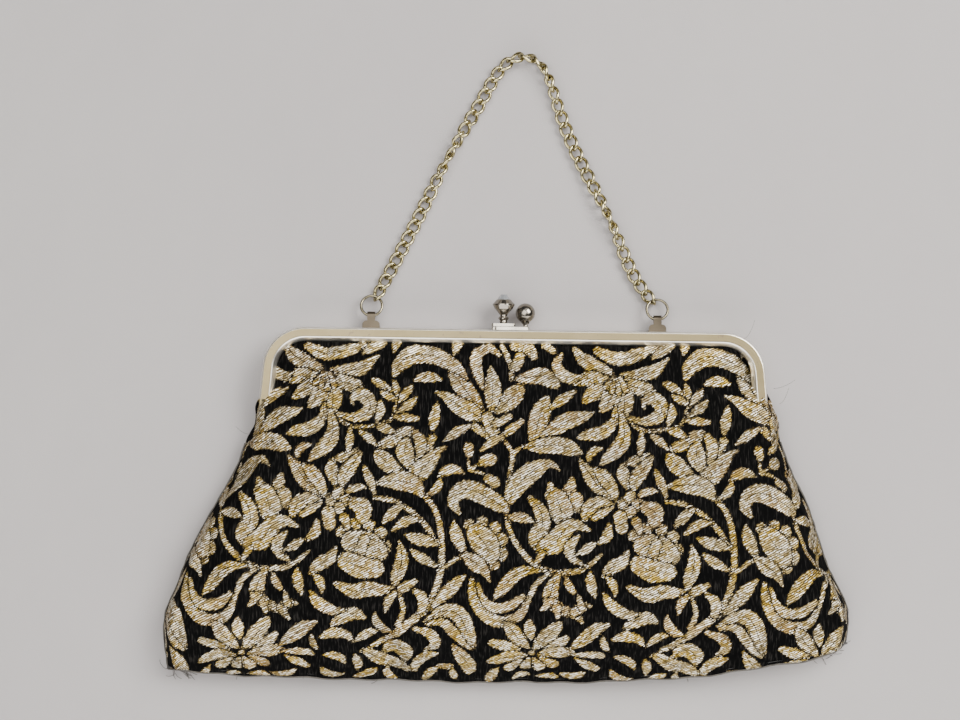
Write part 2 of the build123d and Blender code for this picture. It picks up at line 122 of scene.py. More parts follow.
def makeStudio():
    world = bpy.data.worlds.new("room")
    world.use_nodes = True
    background = world.node_tree.nodes["Background"]
    background.inputs["Color"].default_value = studio["worldTint"]
    background.inputs["Strength"].default_value = studio["world"]
    bpy.context.scene.world = world
    for name, (place, target, size, power, tint) in studio["lamps"].items():
        areaLight(name, place, target, size, power, tint)
    sky = bpy.data.lights.new("sky", "SUN")
    sky.energy = studio["sky"]
    sky.angle = math.radians(studio["skyWidth"])
    lamp = bpy.data.objects.new("sky", sky)
    bpy.context.scene.collection.objects.link(lamp)
    tiltX, tiltY = studio["skyTilt"]
    lamp.rotation_euler = (math.radians(tiltX), math.radians(tiltY), 0)
    far = studio["floorReach"]
    floor = newMesh("floor", [(-far, -far, 0), (far, -far, 0), (far, far, 0), (-far, far, 0)],
                    [(0, 1, 2, 3)])
    floor.location.z = -0.0002    # just under the cloth, so that they never share a plane
    floor.data.materials.append(clothFloor())


# small helpers for meshes and materials
def newMesh(name, verts, faces, smooth=True):
    data = bpy.data.meshes.new(name)
    data.from_pydata([tuple(v) for v in verts], [], [tuple(f) for f in faces])
    data.update()
    piece = bpy.data.objects.new(name, data)
    bpy.context.scene.collection.objects.link(piece)
    if smooth:
        data.polygons.foreach_set("use_smooth", [True] * len(data.polygons))
    return piece


def gridMesh(name, points, flip=False):
    # a sheet from a rows x columns x 3 array in mm
    rows, columns = points.shape[:2]
    data = bpy.data.meshes.new(name)
    ids = np.arange(rows * columns).reshape(rows, columns)
    quads = np.stack([ids[:-1, :-1], ids[:-1, 1:], ids[1:, 1:], ids[1:, :-1]], -1).reshape(-1, 4)
    if flip:
        quads = quads[:, ::-1]
    data.vertices.add(rows * columns)
    data.vertices.foreach_set("co", (points.reshape(-1, 3) * mm).ravel())
    data.loops.add(quads.size)
    data.loops.foreach_set("vertex_index", quads.ravel().astype(np.int32))
    data.polygons.add(len(quads))
    data.polygons.foreach_set("loop_start", np.arange(0, quads.size, 4, dtype=np.int32))
    data.polygons.foreach_set("use_smooth", [True] * len(quads))
    data.update(calc_edges=True)
    data.validate()
    piece = bpy.data.objects.new(name, data)
    bpy.context.scene.collection.objects.link(piece)
    return piece


def giveField(piece, name, values):
    field = piece.data.attributes.new(name, "FLOAT", "POINT")
    field.data.foreach_set("value", np.asarray(values, np.float32).ravel())


def giveVectors(piece, name, values):
    field = piece.data.attributes.new(name, "FLOAT_VECTOR", "POINT")
    field.data.foreach_set("vector", np.asarray(values, np.float32).ravel())


class Recipe:
    # a short way to wire a material's nodes
    def __init__(self, name):
        self.material = bpy.data.materials.new(name)
        self.material.use_nodes = True
        self.nodes = self.material.node_tree.nodes
        self.links = self.material.node_tree.links
        self.shader = self.nodes["Principled BSDF"]

    def put(self, target, value):
        if isinstance(value, bpy.types.NodeSocket):
            self.links.new(value, target)
        else:
            target.default_value = value

    def add(self, kind, inputs=None, out=0, **settings):
        node = self.nodes.new(kind)
        for key, value in settings.items():
            setattr(node, key, value)
        for key, value in (inputs or {}).items():
            self.put(node.inputs[key], value)
        return node.outputs[out]

    def math(self, operation, a, b=0.0, c=0.0, clamp=False):
        return self.add("ShaderNodeMath", {0: a, 1: b, 2: c}, operation=operation, use_clamp=clamp)

    def mix(self, amount, a, b):
        node = self.nodes.new("ShaderNodeMix")
        node.data_type = "RGBA"
        for index, value in ((0, amount), (6, a), (7, b)):
            self.put(node.inputs[index], value)
        return node.outputs[2]

    def blendNumber(self, amount, a, b):
        node = self.nodes.new("ShaderNodeMix")
        for index, value in ((0, amount), (2, a), (3, b)):
            self.put(node.inputs[index], value)
        return node.outputs[0]

    def noise(self, scale, detail, where):
        return self.add("ShaderNodeTexNoise", {"Scale": scale, "Detail": detail, "Vector": where})

    def field(self, name, out="Fac"):
        node = self.nodes.new("ShaderNodeAttribute")
        node.attribute_name = name
        return node.outputs[out]

    def place(self):
        return self.add("ShaderNodeTexCoord", out=3)

    def step(self, value, low, high):
        node = self.nodes.new("ShaderNodeMapRange")
        node.interpolation_type = "SMOOTHSTEP"
        self.put(node.inputs[0], value)
        node.inputs[1].default_value = low
        node.inputs[2].default_value = high
        return node.outputs[0]

    def bump(self, height, distance, strength, before=None):
        inputs = {"Height": height, "Distance": distance, "Strength": strength}
        if before is not None:
            inputs["Normal"] = before
        return self.add("ShaderNodeBump", inputs)

    def finish(self, **sockets):
        for key, value in sockets.items():
            self.put(self.shader.inputs[key.replace("_", " ")], value)
        return self.material


def clothFloor():
    r = Recipe("pale cloth")
    where = r.place()
    soft = r.noise(3.0, 4.0, where)
    fold = r.noise(9.0, 3.0, where)
    r0, g0, b0 = studio["floor"]
    tint = r.mix(soft, (r0 * 0.93, g0 * 0.90, b0 * 0.93, 1), (r0 * 1.07, g0 * 1.08, b0 * 1.06, 1))
    weave = r.noise(2600.0, 1.0, where)
    normal = r.bump(weave, 0.0002, 0.35)
    normal = r.bump(fold, 0.009, 0.5, normal)
    return r.finish(Base_Color=tint, Roughness=0.95, Normal=normal)


def metalFinish(name, tint, rough, worn, satin):
    # polished or satin metal with fine scratches and a little tarnish
    r = Recipe(name)
    where = r.place()
    cloud = r.noise(90.0, 4.0, where)
    speck = r.noise(900.0, 3.0, where)
    stretched = r.add("ShaderNodeMapping", {"Vector": where, "Scale": (60.0, 1600.0, 1600.0)})
    grain = r.noise(1.0, 2.0, stretched)
    dull = tuple(c * 0.62 for c in tint)
    tarnish = r.step(cloud, 0.46, 0.74)
    colour = r.mix(r.math("MULTIPLY", tarnish, worn), (*tint, 1), (*dull, 1))
    roughness = r.math("MULTIPLY_ADD", speck, 0.10, rough - 0.05)
    roughness = r.math("MULTIPLY_ADD", tarnish, 0.12 * worn, roughness, clamp=True)
    normal = r.bump(grain, 0.000004 + 0.00003 * satin, 0.2 + 0.4 * satin)
    return r.finish(Base_Color=colour, Metallic=1.0, Roughness=roughness, Normal=normal)


def frameFinish():
    # satin champagne face; the rolled bead and the edges are polished
    r = Recipe("frame metal")
    where = r.place()
    facing = r.add("ShaderNodeNewGeometry", out=1)
    up = r.add("ShaderNodeSeparateXYZ", {"Vector": facing}, out=2)
    flat = r.step(r.math("ABSOLUTE", up), 0.93, 0.985)
    cloud = r.noise(55.0, 5.0, where)
    speck = r.noise(700.0, 2.0, where)
    # darker brown patches on the satin face: rubbed wear and painted reflection
    wearAndReflectionPatches = r.step(r.noise(24.0, 3.0, where), 0.5, 0.72)
    satin = r.mix(cloud, (0.165, 0.134, 0.068, 1), (0.27, 0.222, 0.128, 1))
    satin = r.mix(r.math("MULTIPLY", wearAndReflectionPatches, 0.5), satin, (0.115, 0.088, 0.042, 1))
    pitted = r.step(r.noise(420.0, 3.0, where), 0.66, 0.72)
    satin = r.mix(r.math("MULTIPLY", pitted, 0.7), satin, (0.14, 0.11, 0.08, 1))
    polished = r.mix(cloud, (0.84, 0.79, 0.68, 1), (0.96, 0.93, 0.86, 1))
    stretched = r.add("ShaderNodeMapping", {"Vector": where, "Scale": (40.0, 2200.0, 2200.0)})
    grain = r.noise(1.0, 2.0, stretched)
    rough = r.blendNumber(flat, 0.30, r.math("MULTIPLY_ADD", speck, 0.12, 0.34))
    normal = r.bump(grain, 0.00002, 0.3)
    return r.finish(Base_Color=r.mix(flat, polished, satin), Metallic=1.0, Roughness=rough,
                    Normal=normal)


def crystalFinish():
    r = Recipe("grey crystal")
    smoke = r.noise(400.0, 2.0, r.place())
    tint = r.mix(smoke, (0.20, 0.21, 0.22, 1), (0.36, 0.37, 0.38, 1))
    return r.finish(Base_Color=tint, Roughness=0.04, Metallic=0.35, IOR=1.55,
                    Coat_Weight=1.0, Coat_Roughness=0.02)


def paperFinish():
    r = Recipe("twisted paper")
    where = r.place()
    twist = r.add("ShaderNodeTexWave", {"Scale": 320.0, "Distortion": 1.5, "Vector": where}, out=1)
    tint = r.mix(twist, (0.36, 0.27, 0.17, 1), (0.56, 0.45, 0.31, 1))
    return r.finish(Base_Color=tint, Roughness=0.9, Normal=r.bump(twist, 0.0002, 0.5))


def coverNode(node, material):
    # a new finish on a node's own slots, its shape untouched
    piece = frame["nodes"][node]
    if not piece.material_slots:
        piece.data.materials.append(material)
    for one in piece.material_slots:
        one.material = material


metals = {
    # tint, roughness, how tarnished, how satin, and the nodes that wear it
    "polished nickel": ((0.25, 0.228, 0.192), 0.16, 0.8, 0.0, ("finial_knob", "ball_knob")),
    "clasp plate": ((0.50, 0.465, 0.40), 0.2, 0.6, 0.0, ("finial_plate", "ball_plate")),
    "chain tab": ((0.085, 0.070, 0.050), 0.38, 0.8, 0.3, ("chain_tab_left", "chain_tab_right")),
    "rivet head": ((0.60, 0.56, 0.49), 0.32, 0.9, 0.3,
                   ("tab_rivets", "clasp_rivets_front", "clasp_rivets_back", "hinge_pin_left",
                    "hinge_pin_right")),
    "worn ring": ((0.21, 0.185, 0.125), 0.17, 0.8, 0.0, ("ring_left", "ring_right")),
}


def finishMetal():
    champagne = frameFinish()
    for node in ("front_frame", "back_frame"):
        coverNode(node, champagne)
    for name, (tint, rough, worn, satin, nodes) in metals.items():
        finish = metalFinish(name, tint, rough, worn, satin)
        for node in nodes:
            coverNode(node, finish)
    coverNode("finial_crystal", crystalFinish())
    for node in ("filler_cord_front", "filler_cord_back"):
        coverNode(node, paperFinish())
    print("metal: frame, clasp, tabs, rings and rivets finished")


# the handle's chain: each curb link is a twisted oval of round wire
chainLook = {
    "wire": 0.68,         # radius of the wire, mm
    "halfWidth": 2.24,    # from the link's middle to the middle of the wire, mm
    "cadWire": 0.5,       # the wire's radius in the frame's own links, mm
    "longer": 0.12,       # how much each half link is lengthened, mm
    "twist": 45.0,        # degrees
    "around": 32,
    "wireSides": 10,
    "finish": ((0.42, 0.37, 0.205), 0.16, 0.6, 0.0),    # as for the metals above
}


def looseParts(piece):
    # the corner points of each separate solid of a node, in mm
    data = piece.data
    keys = [tuple(round(c * 1e6) for c in vertex.co) for vertex in data.vertices]
    first = {}
    same = [first.setdefault(key, i) for i, key in enumerate(keys)]
    parent = list(range(len(data.vertices)))

    def rootOf(i):
        while parent[i] != i:
            parent[i] = parent[parent[i]]
            i = parent[i]
        return i

    for edge in data.edges:
        a, b = (rootOf(same[i]) for i in edge.vertices)
        parent[a] = b
    groups = {}
    for i in sorted(set(same)):
        groups.setdefault(rootOf(i), []).append(tuple(data.vertices[i].co / mm))
    return [np.array(g) for g in groups.values()]


def linkRing(halfLength):
    # the link's wire about its own centre: x along the chain
    turn = np.linspace(0, 2 * math.pi, chainLook["around"], endpoint=False)
    twist = math.radians(chainLook["twist"]) * np.cos(turn)
    out = chainLook["halfWidth"] * np.sin(turn)
    line = np.stack([halfLength * np.cos(turn), out * np.cos(twist), out * np.sin(twist)], 1)
    ahead = np.roll(line, -1, 0) - np.roll(line, 1, 0)
    ahead /= np.linalg.norm(ahead, axis=1)[:, None]
    outward = line - ahead * (line * ahead).sum(1)[:, None]
    outward /= np.linalg.norm(outward, axis=1)[:, None]
    side = np.cross(ahead, outward)
    angles = np.linspace(0, 2 * math.pi, chainLook["wireSides"], endpoint=False)
    ring = [line + chainLook["wire"] * (math.cos(a) * outward + math.sin(a) * side) for a in angles]
    return np.stack(ring, 1)


def makeChain():
    verts, faces = [], []
    for part in looseParts(frame["nodes"]["handle_chain"]):
        centre = part.mean(0)
        axes = np.linalg.eigh(np.cov((part - centre).T))[1]
        along, wide = axes[:, 2], axes[:, 1]
        third = np.cross(along, wide)
        reach = np.abs((part - centre) @ along).max()
        ring = linkRing(reach - chainLook["cadWire"] + chainLook["longer"])
        points = centre + ring @ np.stack([along, wide, third])
        first = len(verts)
        n, m = ring.shape[:2]
        verts.extend((points.reshape(-1, 3) * mm).tolist())
        for i in range(n):
            here, ahead = first + i * m, first + ((i + 1) % n) * m
            for j in range(m):
                k = (j + 1) % m
                faces.append((here + j, ahead + j, ahead + k, here + k))
    chain = newMesh("handle_links", verts, faces)
    chain.data.materials.append(metalFinish("pale gold wash", *chainLook["finish"]))
    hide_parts("handle_chain")
    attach(chain, handleBody)
    print("chain:", len(faces), "faces")


# the brocade's design: one repeat of flowers, leaves and stems, in millimetres of cloth;
# x runs from the middle of the bar, y up from the bar's top edge, so it is below zero;
# a stroke is a list of (x, y, half width) points along a petal, a leaf or a stem
brocade = {
    "repeat": 115.2,      # width of one repeat, mm
    "outline": 0.5,       # dark line between petals, mm
    "vein": 0.15,         # half the dark line down the middle of a petal, mm
    "veinFrom": 2.5,      # petals have it from this half width up, mm
    "swell": 0.22,        # how much fuller the petals are than their strokes, mm
    "lobes": 0.30,        # how far their edges wander in and out, mm
    "gap": 3.7,           # bare ground further than this from a stroke gets a small leaf, mm
    "mostLeaves": 90,
    "widestLeaf": 5.2,    # most room that a small leaf is given, mm
    "relief": 0.22,       # how far the flowers stand up from the ground, mm
    "ribPitch": 0.85,     # spacing of the slanting lurex ribs, mm
    "ribAngle": 27.0,     # how far the ribs rise to the right, degrees
}

stems = [
    [(-3.6, -44.2, .6), (-0.2, -49.4, .7), (-0.8, -56, .8), (-2.4, -65, .8)],
    [(-0.4, -50.6, .7), (2, -47.6, .7), (5.6, -46.4, .7)],
    [(-17.4, -50, .4), (-17.2, -55.4, .45), (-12.6, -53.4, .45)],
    [(-17.4, -56, .4), (-11.6, -57.6, .5), (-9.6, -59.4, .5)],
    [(-36, -65, .9), (-30.4, -72, .9), (-28, -81, 1.0), (-27.6, -92, 1.1), (-29.4, -103, 1.2),
     (-33.8, -111.4, 1.4), (-42, -118.8, 1.5), (-51.6, -126.6, 1.2), (-59, -131.4, .9)],
    [(-54.6, -67.4, .7), (-47, -68.6, .8), (-41, -72, .9), (-35, -77, .9), (-29.4, -85, .9)],
    [(-27.6, -95.6, .7), (-23, -92, .7), (-19, -89.4, .8)],
    [(-2.4, -70, .9), (-1.4, -78, .9), (2.2, -85.6, .9), (8.8, -92.6, 1.0), (16, -95.8, 1.1),
     (25, -95.4, 1.0), (31, -92.6, .8), (35.4, -89, .5)],
    [(-44, -105, .7), (-42.4, -112, .8), (-44.4, -118, .9)],
    [(44, -34.8, .5), (48.6, -38.4, .6), (53, -39.8, .7), (60, -39.2, .7), (66.4, -37.2, .6)],
    [(-45.8, -25, .45), (-46.2, -30, .5), (-48.8, -37.4, .6)],
    [(40.8, -67.6, .6), (44, -66.6, .8)],
    [(47.4, -62, .6), (46.6, -66, .8)],
]

flowers = {
    "lily": [
        [(-12, -33, .6), (-16.6, -27.8, 3.1), (-20.6, -22.8, 3.5), (-23.8, -18.6, 2.0), (-26.4, -15, .2)],
        [(-11.6, -36, .8), (-17, -33.2, 3.3), (-22, -30.6, 3.1), (-26.6, -27.4, 1.7), (-30.8, -25.4, .3)],
        [(-6.6, -33, .8), (-3.2, -29.6, 3.1), (0.2, -26.2, 3.4), (2.8, -22.6, 1.2)],
        [(-9, -32.4, .8), (-8.4, -26, 3.1), (-8.6, -21.5, 2.8), (-9.4, -15, .2)],
        [(-15.4, -39, 1.3), (-10, -42, 1.8)],
        [(-10.4, -35.4, 2.3), (-8.2, -39.6, 2.5), (-6.6, -43, 1.3)],
        [(-6.6, -37.6, 1.5), (-1.8, -34.8, 1.2)],
        [(-4.6, -43, .6), (-1, -39.8, 1.6), (3.4, -36.6, .9)],
        [(-12.6, -48.2, .5), (-8.6, -45, 1.5), (-4.6, -42.8, 1.0)],
    ],
    "lily leaf": [
        [(-17.4, -38.6, .6), (-22.6, -41.2, 1.8), (-27.4, -45, .2)],
    ],
    "right leaves": [
        [(8.6, -43, 2.4), (9.6, -37.4, 3.6), (11.4, -31.6, 3.4), (13.4, -26.6, .4)],
        [(11.4, -42.6, .8), (16.4, -39.2, 2.6), (21, -36.2, 3.1), (26.6, -34.6, 2.1), (31.6, -33, .3)],
        [(5.4, -46.4, .7), (10.6, -46.2, 2.7), (16.6, -45.8, 3.1), (22, -46.8, 2.9), (26.4, -48.6, 1.0)],
        [(15, -31.2, .5), (19.4, -27.6, 1.8), (24.6, -24, .3)],
    ],
    "berries": [
        [(-17.6, -47.4, 1.9), (-17.4, -49.6, 1.4)],
        [(-11.4, -52.4, 2.0), (-8.8, -51.8, 2.2)],
        [(-9.8, -59.4, 1.7), (-7.4, -60.8, 2.3)],
    ],
    "acanthus": [
        [(-2.6, -70, 1.0), (0.4, -64.4, 3.1), (4.0, -59.4, 3.9), (8.6, -55.6, 3.3), (12.6, -53.4, 1.8),
         (16, -53.6, 1.0), (18.4, -55.6, .3)],
        [(-2.4, -71.6, 1.2), (-5.8, -69, 3.0), (-10.6, -66.4, 3.3), (-16.6, -63.8, 3.5),
         (-21.4, -64.8, 2.9), (-23.4, -69, 2.0), (-21.2, -72.6, .8)],
    ],
    "heart flower": [
        [(14.8, -61.4, 1.0), (16, -65.2, 3.3)],
        [(23.6, -59.2, .9), (22.4, -64, 3.0)],
        [(25, -67.4, 3.0), (26, -70.2, 2.2)],
        [(17.8, -67.4, 4.0), (19.4, -71.8, 4.4), (19.6, -75.4, 2.6)],
    ],
    "leaf pair": [
        [(26.4, -51.4, .3), (29.6, -55.8, 2.3), (33.2, -61, 2.7), (37.4, -65.4, 1.5), (41, -68, .4)],
        [(32.2, -54.6, .4), (35.8, -57.8, 2.3), (39, -61.8, 2.3), (41.4, -67.4, .4)],
        [(28.8, -74.2, 1.6), (30.4, -70.6, 2.6), (34.4, -68.2, 2.3), (39.8, -68.8, .4)],
        [(32.2, -74.6, .9), (35.4, -72.6, 1.4), (39.8, -70, .4)],
    ],
    "tulip": [
        [(-51.8, -46.6, 1.6), (-48.2, -45, 2.5), (-44.2, -42.6, 2.7), (-41, -41, 1.8)],
        [(-32, -43.4, 1.5), (-34, -47.6, 2.0)],
        [(-38.8, -41.8, 1.2), (-36.6, -45.6, 2.2), (-37.2, -52, 1.5)],
        [(-53.6, -49.6, 1.2), (-51, -52.6, 3.1), (-46.4, -56.6, 2.7)],
        [(-42.2, -44.8, 1.2), (-42.8, -49.2, 3.3), (-40.6, -54.4, 1.7)],
        [(-41, -60.8, 2.0), (-36.8, -57.2, 3.5), (-32.6, -52.4, 2.7), (-29.8, -49, 1.3), (-26.4, -47.2, .3)],
        [(-54.6, -61.8, .5), (-49.6, -61, 2.1), (-43.6, -60.8, 3.7), (-38.6, -62.4, 2.9), (-36, -66, .9)],
    ],
    "arch leaves": [
        [(-51.2, -77.6, .3), (-47.6, -73.6, 1.9), (-43.4, -70.2, .5)],
        [(-47.2, -80.4, .4), (-42.6, -76.8, 1.8), (-37, -75.4, .5)],
        [(-41.8, -81.8, .4), (-37.8, -83.4, 2.1), (-33.4, -84.4, 2.0), (-29.6, -85.6, .5)],
        [(-39.4, -88.4, .8), (-35.2, -91.2, 1.8), (-29.4, -94.2, .5)],
    ],
    "carnation": [
        [(-23, -76.6, .4), (-21.8, -82, 2.4), (-18.6, -88.6, 1.1)],
        [(-16.8, -77.6, 2.2)],
        [(-11.8, -76.6, 2.2)],
        [(-6.8, -78.8, 2.4)],
        [(-4.4, -83.6, 2.7)],
        [(-4.4, -89, 2.7)],
        [(-7.2, -92.8, 2.4)],
        [(-14, -80.8, 3.7), (-10.8, -84.8, 5.2), (-8.8, -88.8, 4.0)],
        [(-18.6, -89.6, 1.0), (-14.4, -92.6, 3.0), (-10.8, -95.4, 1.8), (-8.6, -99.8, .3)],
    ],
    "snail flower": [
        [(7, -66.8, .8), (11, -71.6, 2.4), (12, -77.4, 3.0), (9.6, -82.4, 3.0), (12.2, -86.4, 3.0)],
        [(12.4, -86.2, 2.6), (17.4, -84, 4.2), (20.4, -79.4, 3.3), (25, -77.2, 2.1), (30.6, -79.2, .5)],
        [(26, -81.8, .8), (22.8, -86, 2.0), (24, -90, 1.6), (27.8, -92.6, .5)],
        [(12, -88.6, 1.3), (9.8, -92, .8)],
    ],
    "scroll": [
        [(11, -95.2, .5), (4.6, -95.6, 1.9), (-0.4, -99, 2.7), (-4, -103.4, 1.9), (-6.9, -107.2, .3)],
        [(-15.6, -99.4, .9), (-14.6, -106.6, 1.9), (-10.4, -113.4, 2.4), (-4, -116.8, 2.4),
         (3, -114.8, 1.9), (6.4, -108, 1.0), (9.6, -101, .9), (14.6, -96.4, .8)],
        [(-13, -101, .5), (-11.2, -106.4, 1.1), (-6.8, -110.6, 1.9), (-0.6, -110.2, 2.0), (4.6, -106.2, .9)],
        [(-18.4, -97.6, .4), (-22.8, -102, 2.3), (-27.4, -107.4, 2.0), (-31.4, -111.4, .5)],
    ],
    "foot": [
        [(18.4, -96.6, 1.0), (15.8, -102.6, 2.6), (15.8, -107.6, 2.7), (20, -110.8, 2.3), (25.4, -113, 1.7),
         (27.8, -116, .6)],
        [(15, -108, 2.0), (12.2, -111.2, .5)],
        [(18, -110, 1.7), (18.6, -115, .4)],
        [(25, -112, 1.6), (27.8, -109.8, 2.0), (31, -109.4, .5)],
        [(27.6, -109.6, 1.4), (26.2, -104.6, .4)],
    ],
    "scroll leaf": [
        [(-33.6, -116.4, .6), (-27, -112.8, 2.3), (-20.8, -113.8, 3.4), (-17.4, -119.8, 3.0),
         (-15.4, -126, 1.9), (-14.2, -129.8, .4)],
        [(-33, -117.6, .6), (-27, -117.2, 1.4), (-22.6, -121.6, 1.8), (-18.8, -127, 1.3),
         (-15.2, -130.2, .4)],
        [(-37.6, -119.4, .8), (-31.4, -121.8, 1.9), (-29.8, -127, 1.9), (-33.8, -130.4, .6)],
        [(-38.6, -103.4, .6), (-34.9, -106.8, 1.9), (-35, -111.6, 1.5)],
    ],
    "rose": [
        [(-67, -81, 2.3)],
        [(-62, -78.2, 2.3)],
        [(-56.4, -78.4, 2.3)],
        [(-51.8, -81.4, 2.4)],
        [(-50, -86.6, 2.4)],
        [(-62.6, -85, 4.4), (-57, -86.4, 5.2), (-52.6, -89, 3.6)],
        [(-58, -84, 1.7), (-60, -89.4, 1.9)],
        [(-65, -92.4, 3.4), (-59.6, -95, 4.2), (-53.6, -95.4, 3.4)],
        [(-44.2, -84.8, .4), (-43.2, -91.6, 2.4), (-45, -98, 2.2), (-46.2, -102.4, .8)],
        [(-69, -101.4, .8), (-62, -104.4, 2.7), (-56, -103.6, 2.9), (-50, -103.8, 1.7), (-46.6, -102.6, .5)],
        [(-37.6, -100, .6), (-41.4, -102.2, 1.7), (-46, -105, .9)],
        [(-46, -104.8, .9), (-48.4, -108.6, 1.5), (-49.2, -112.6, .3)],
    ],
    "small bloom": [
        [(44, -52.6, .6), (43.6, -57, 2.4), (45.4, -62.8, .6)],
        [(45.6, -52.4, .6), (48.8, -51.6, 2.0), (53.8, -48.6, .4)],
        [(55.2, -49.6, .4), (52.2, -54, 2.3), (48.8, -58.8, 2.4), (47.6, -63.4, .6)],
        [(43.8, -69, 2.2)],
        [(46.6, -66, 2.4)],
        [(49.4, -68.8, 2.4)],
        [(46.8, -71.8, 2.2)],
        [(52.8, -69.8, 2.2), (56.2, -71.6, 3.3), (56.2, -75.2, 2.4)],
        [(42.6, -73.8, 2.5), (43.2, -78, 2.3)],
        [(49, -75.6, 1.8), (50.4, -79.4, 1.0)],
        [(56.4, -55.2, .4), (58.6, -60.2, 1.7), (60.8, -65.8, .4)],
    ],
    "palmette": [
        [(24, -7.2, .6), (27.6, -11.4, 2.5), (33, -15, 2.9), (38.6, -17, 1.2)],
        [(33, -8, 1.4), (39, -10.8, 2.5), (46, -10.4, 2.6), (53.6, -7.6, 1.6), (58.6, -5.6, .4)],
        [(43, -18, 1.2), (49, -18, 2.5), (55, -16.4, 2.5), (61, -11.4, .5)],
        [(42, -20.4, 1.4), (48, -22.4, 2.7), (52.6, -23.8, 2.5), (56, -25.2, .6)],
        [(24, -20.8, 1.4), (29.6, -19.6, 2.9), (35.6, -22, 3.3), (40, -24, 1.6)],
        [(28, -28.6, .8), (31.4, -25.2, 2.9), (37, -24, 2.7)],
        [(43.4, -33.4, 2.1), (43.8, -28, 3.5), (43, -22.6, 2.3)],
        [(35, -31.6, 1.2), (38, -27.8, 3.3), (40, -24, 2.5)],
        [(36.4, -22.6, 1.0), (39.6, -18.4, .6)],
        [(38.8, -24.4, 1.0), (40.2, -18.8, .6)],
        [(41.6, -24.6, 1.0), (41, -18.8, .6)],
        [(44.2, -23.8, 1.0), (42, -18.8, .6)],
        [(40.2, -31, .5), (39.6, -36.4, 1.7), (35, -40.6, 2.5), (29.6, -41.6, 2.0), (25.4, -42.8, .3)],
        [(43, -34.2, 1.0), (44, -41, 2.2), (42.6, -45.6, 2.8), (38, -50, 2.1), (34.6, -53.4, .3)],
        [(46, -34.8, .6), (51.6, -36, 1.5), (57, -34.4, 2.3), (58.6, -30.4, 2.6), (55.4, -27.2, 2.5),
         (51.8, -28, 1.2), (51.6, -30.6, .4)],
        [(50.6, -40.2, .4), (50.7, -44.6, 1.5), (50.2, -48.8, .8)],
        [(54.6, -41.4, .5), (58, -43.8, 1.5), (61.4, -47, .3)],
        [(61, -38.8, .6), (64.4, -40.2, 1.7), (68.4, -41.8, .4)],
        [(55.4, -10.4, .6), (59, -7.8, 1.9), (62.4, -5.6, 1.6)],
    ],
    "sprig": [
        [(-47.4, -21.4, .6), (-46.6, -24.6, 1.4), (-46, -28, .4)],
        [(-56, -21, .5), (-52.6, -22.6, 1.6), (-48, -25.8, .3)],
        [(-52.2, -26, .6), (-49.6, -27.4, 1.4), (-46.4, -29, .4)],
        [(-40.4, -23.4, .6), (-42.8, -26.4, 1.5), (-45.2, -29.6, .4)],
        [(-38.6, -28, .5), (-42, -31.2, 1.6), (-46.2, -34.2, .4)],
        [(-38, -36.2, .8), (-42.6, -35.8, 1.5), (-47, -35.6, .5)],
        [(-52.6, -30, .8), (-52.6, -33.4, 1.6), (-53.8, -37.4, .6)],
    ],
    "top leaves": [
        [(-47, -18.6, 1.2), (-45, -14, 3.0), (-40, -10.6, 3.6), (-33.6, -10.4, 3.4), (-27, -12.8, 2.9),
         (-22, -16.2, 1.8), (-18.6, -20.2, .3)],
        [(-6, -10.2, .8), (-9.6, -7.6, 1.5), (-13.6, -8.8, 2.2), (-15.4, -12.4, 2.2), (-14.2, -18, 1.8),
         (-12.4, -23.6, .5)],
        [(-4.8, -6.8, .8), (-2.6, -11, 1.0), (-1.2, -15.6, 1.0), (-1, -20.4, .6)],
        [(0, -6.6, 1.7), (5.4, -7.2, 2.4), (7.8, -10, 1.6)],
        [(2.2, -11, 1.8), (0.6, -15, 1.8)],
        [(0.6, -20.4, .4), (6, -19, 2.4), (11.4, -18.4, 3.3), (15.6, -21, 2.3), (17.4, -23, .4)],
        [(18.6, -9.4, .8), (17, -13.4, 1.8), (18.8, -17.4, 2.2), (23, -19.4, 1.9), (26, -18.6, .6)],
        [(12.4, -5.6, 1.6), (15.6, -8.4, 1.0)],
    ],
    "star flower": [
        [(9.6, -129, .8), (13, -124.6, 3.1), (17, -119.8, 2.7), (19.8, -116.4, .4)],
        [(7, -128.6, .8), (3.4, -124.6, 3.1), (0.4, -120.6, 2.5), (-2.2, -117.2, .4)],
        [(8.2, -123.4, .8), (7.6, -119.6, 2.1), (7.4, -115.4, .3)],
        [(3.4, -130, .6), (-2, -128, 2.5), (-7, -126, 1.5)],
        [(13.6, -129.6, .6), (18.6, -126.6, 2.3), (21.8, -123.4, 1.3)],
        [(11.6, -132, .8), (17, -131.2, 2.7), (22, -130.6, 2.5), (25.2, -131, .8)],
        [(6, -132.8, .8), (0.6, -133.6, 2.8), (-5.4, -135.4, 2.3), (-8.8, -137, .5)],
        [(12, -134, .8), (17, -138, 2.5)],
        [(9.4, -134.6, .8), (11.6, -139, 2.5)],
        [(7.4, -134.6, .8), (6, -139, 2.3)],
        [(4, -136, .8), (0, -140, 2.3)],
        [(8.7, -131.4, 1.2)],
        [(24, -128.4, .5), (28.6, -124, 2.5), (33.6, -119.8, 2.5), (38.8, -117, .5)],
        [(24.6, -131.8, .5), (30, -131.6, 1.5), (36, -132.2, 1.4)],
        [(26, -134, .4), (30, -137, 1.9), (34, -140, 1.5)],
    ],
    "base buds": [
        [(-50.4, -131.8, 1.0), (-46, -127.8, 3.0), (-42, -130.2, 3.4), (-41.6, -135.6, 1.2)],
        [(-57, -131.6, 1.6), (-52, -135.4, 3.2), (-46, -138, 3.0), (-41, -140.6, 2.0)],
        [(-29, -132, .6), (-33.4, -133.4, 2.3), (-37, -137.4, 2.0), (-38, -141.4, 1.0)],
        [(-22.6, -127.6, .4), (-20, -132.4, 2.3), (-17, -138, 3.0), (-16, -142.4, 2.4)],
        [(-27.6, -140, 1.7), (-24, -139.6, 1.7)],
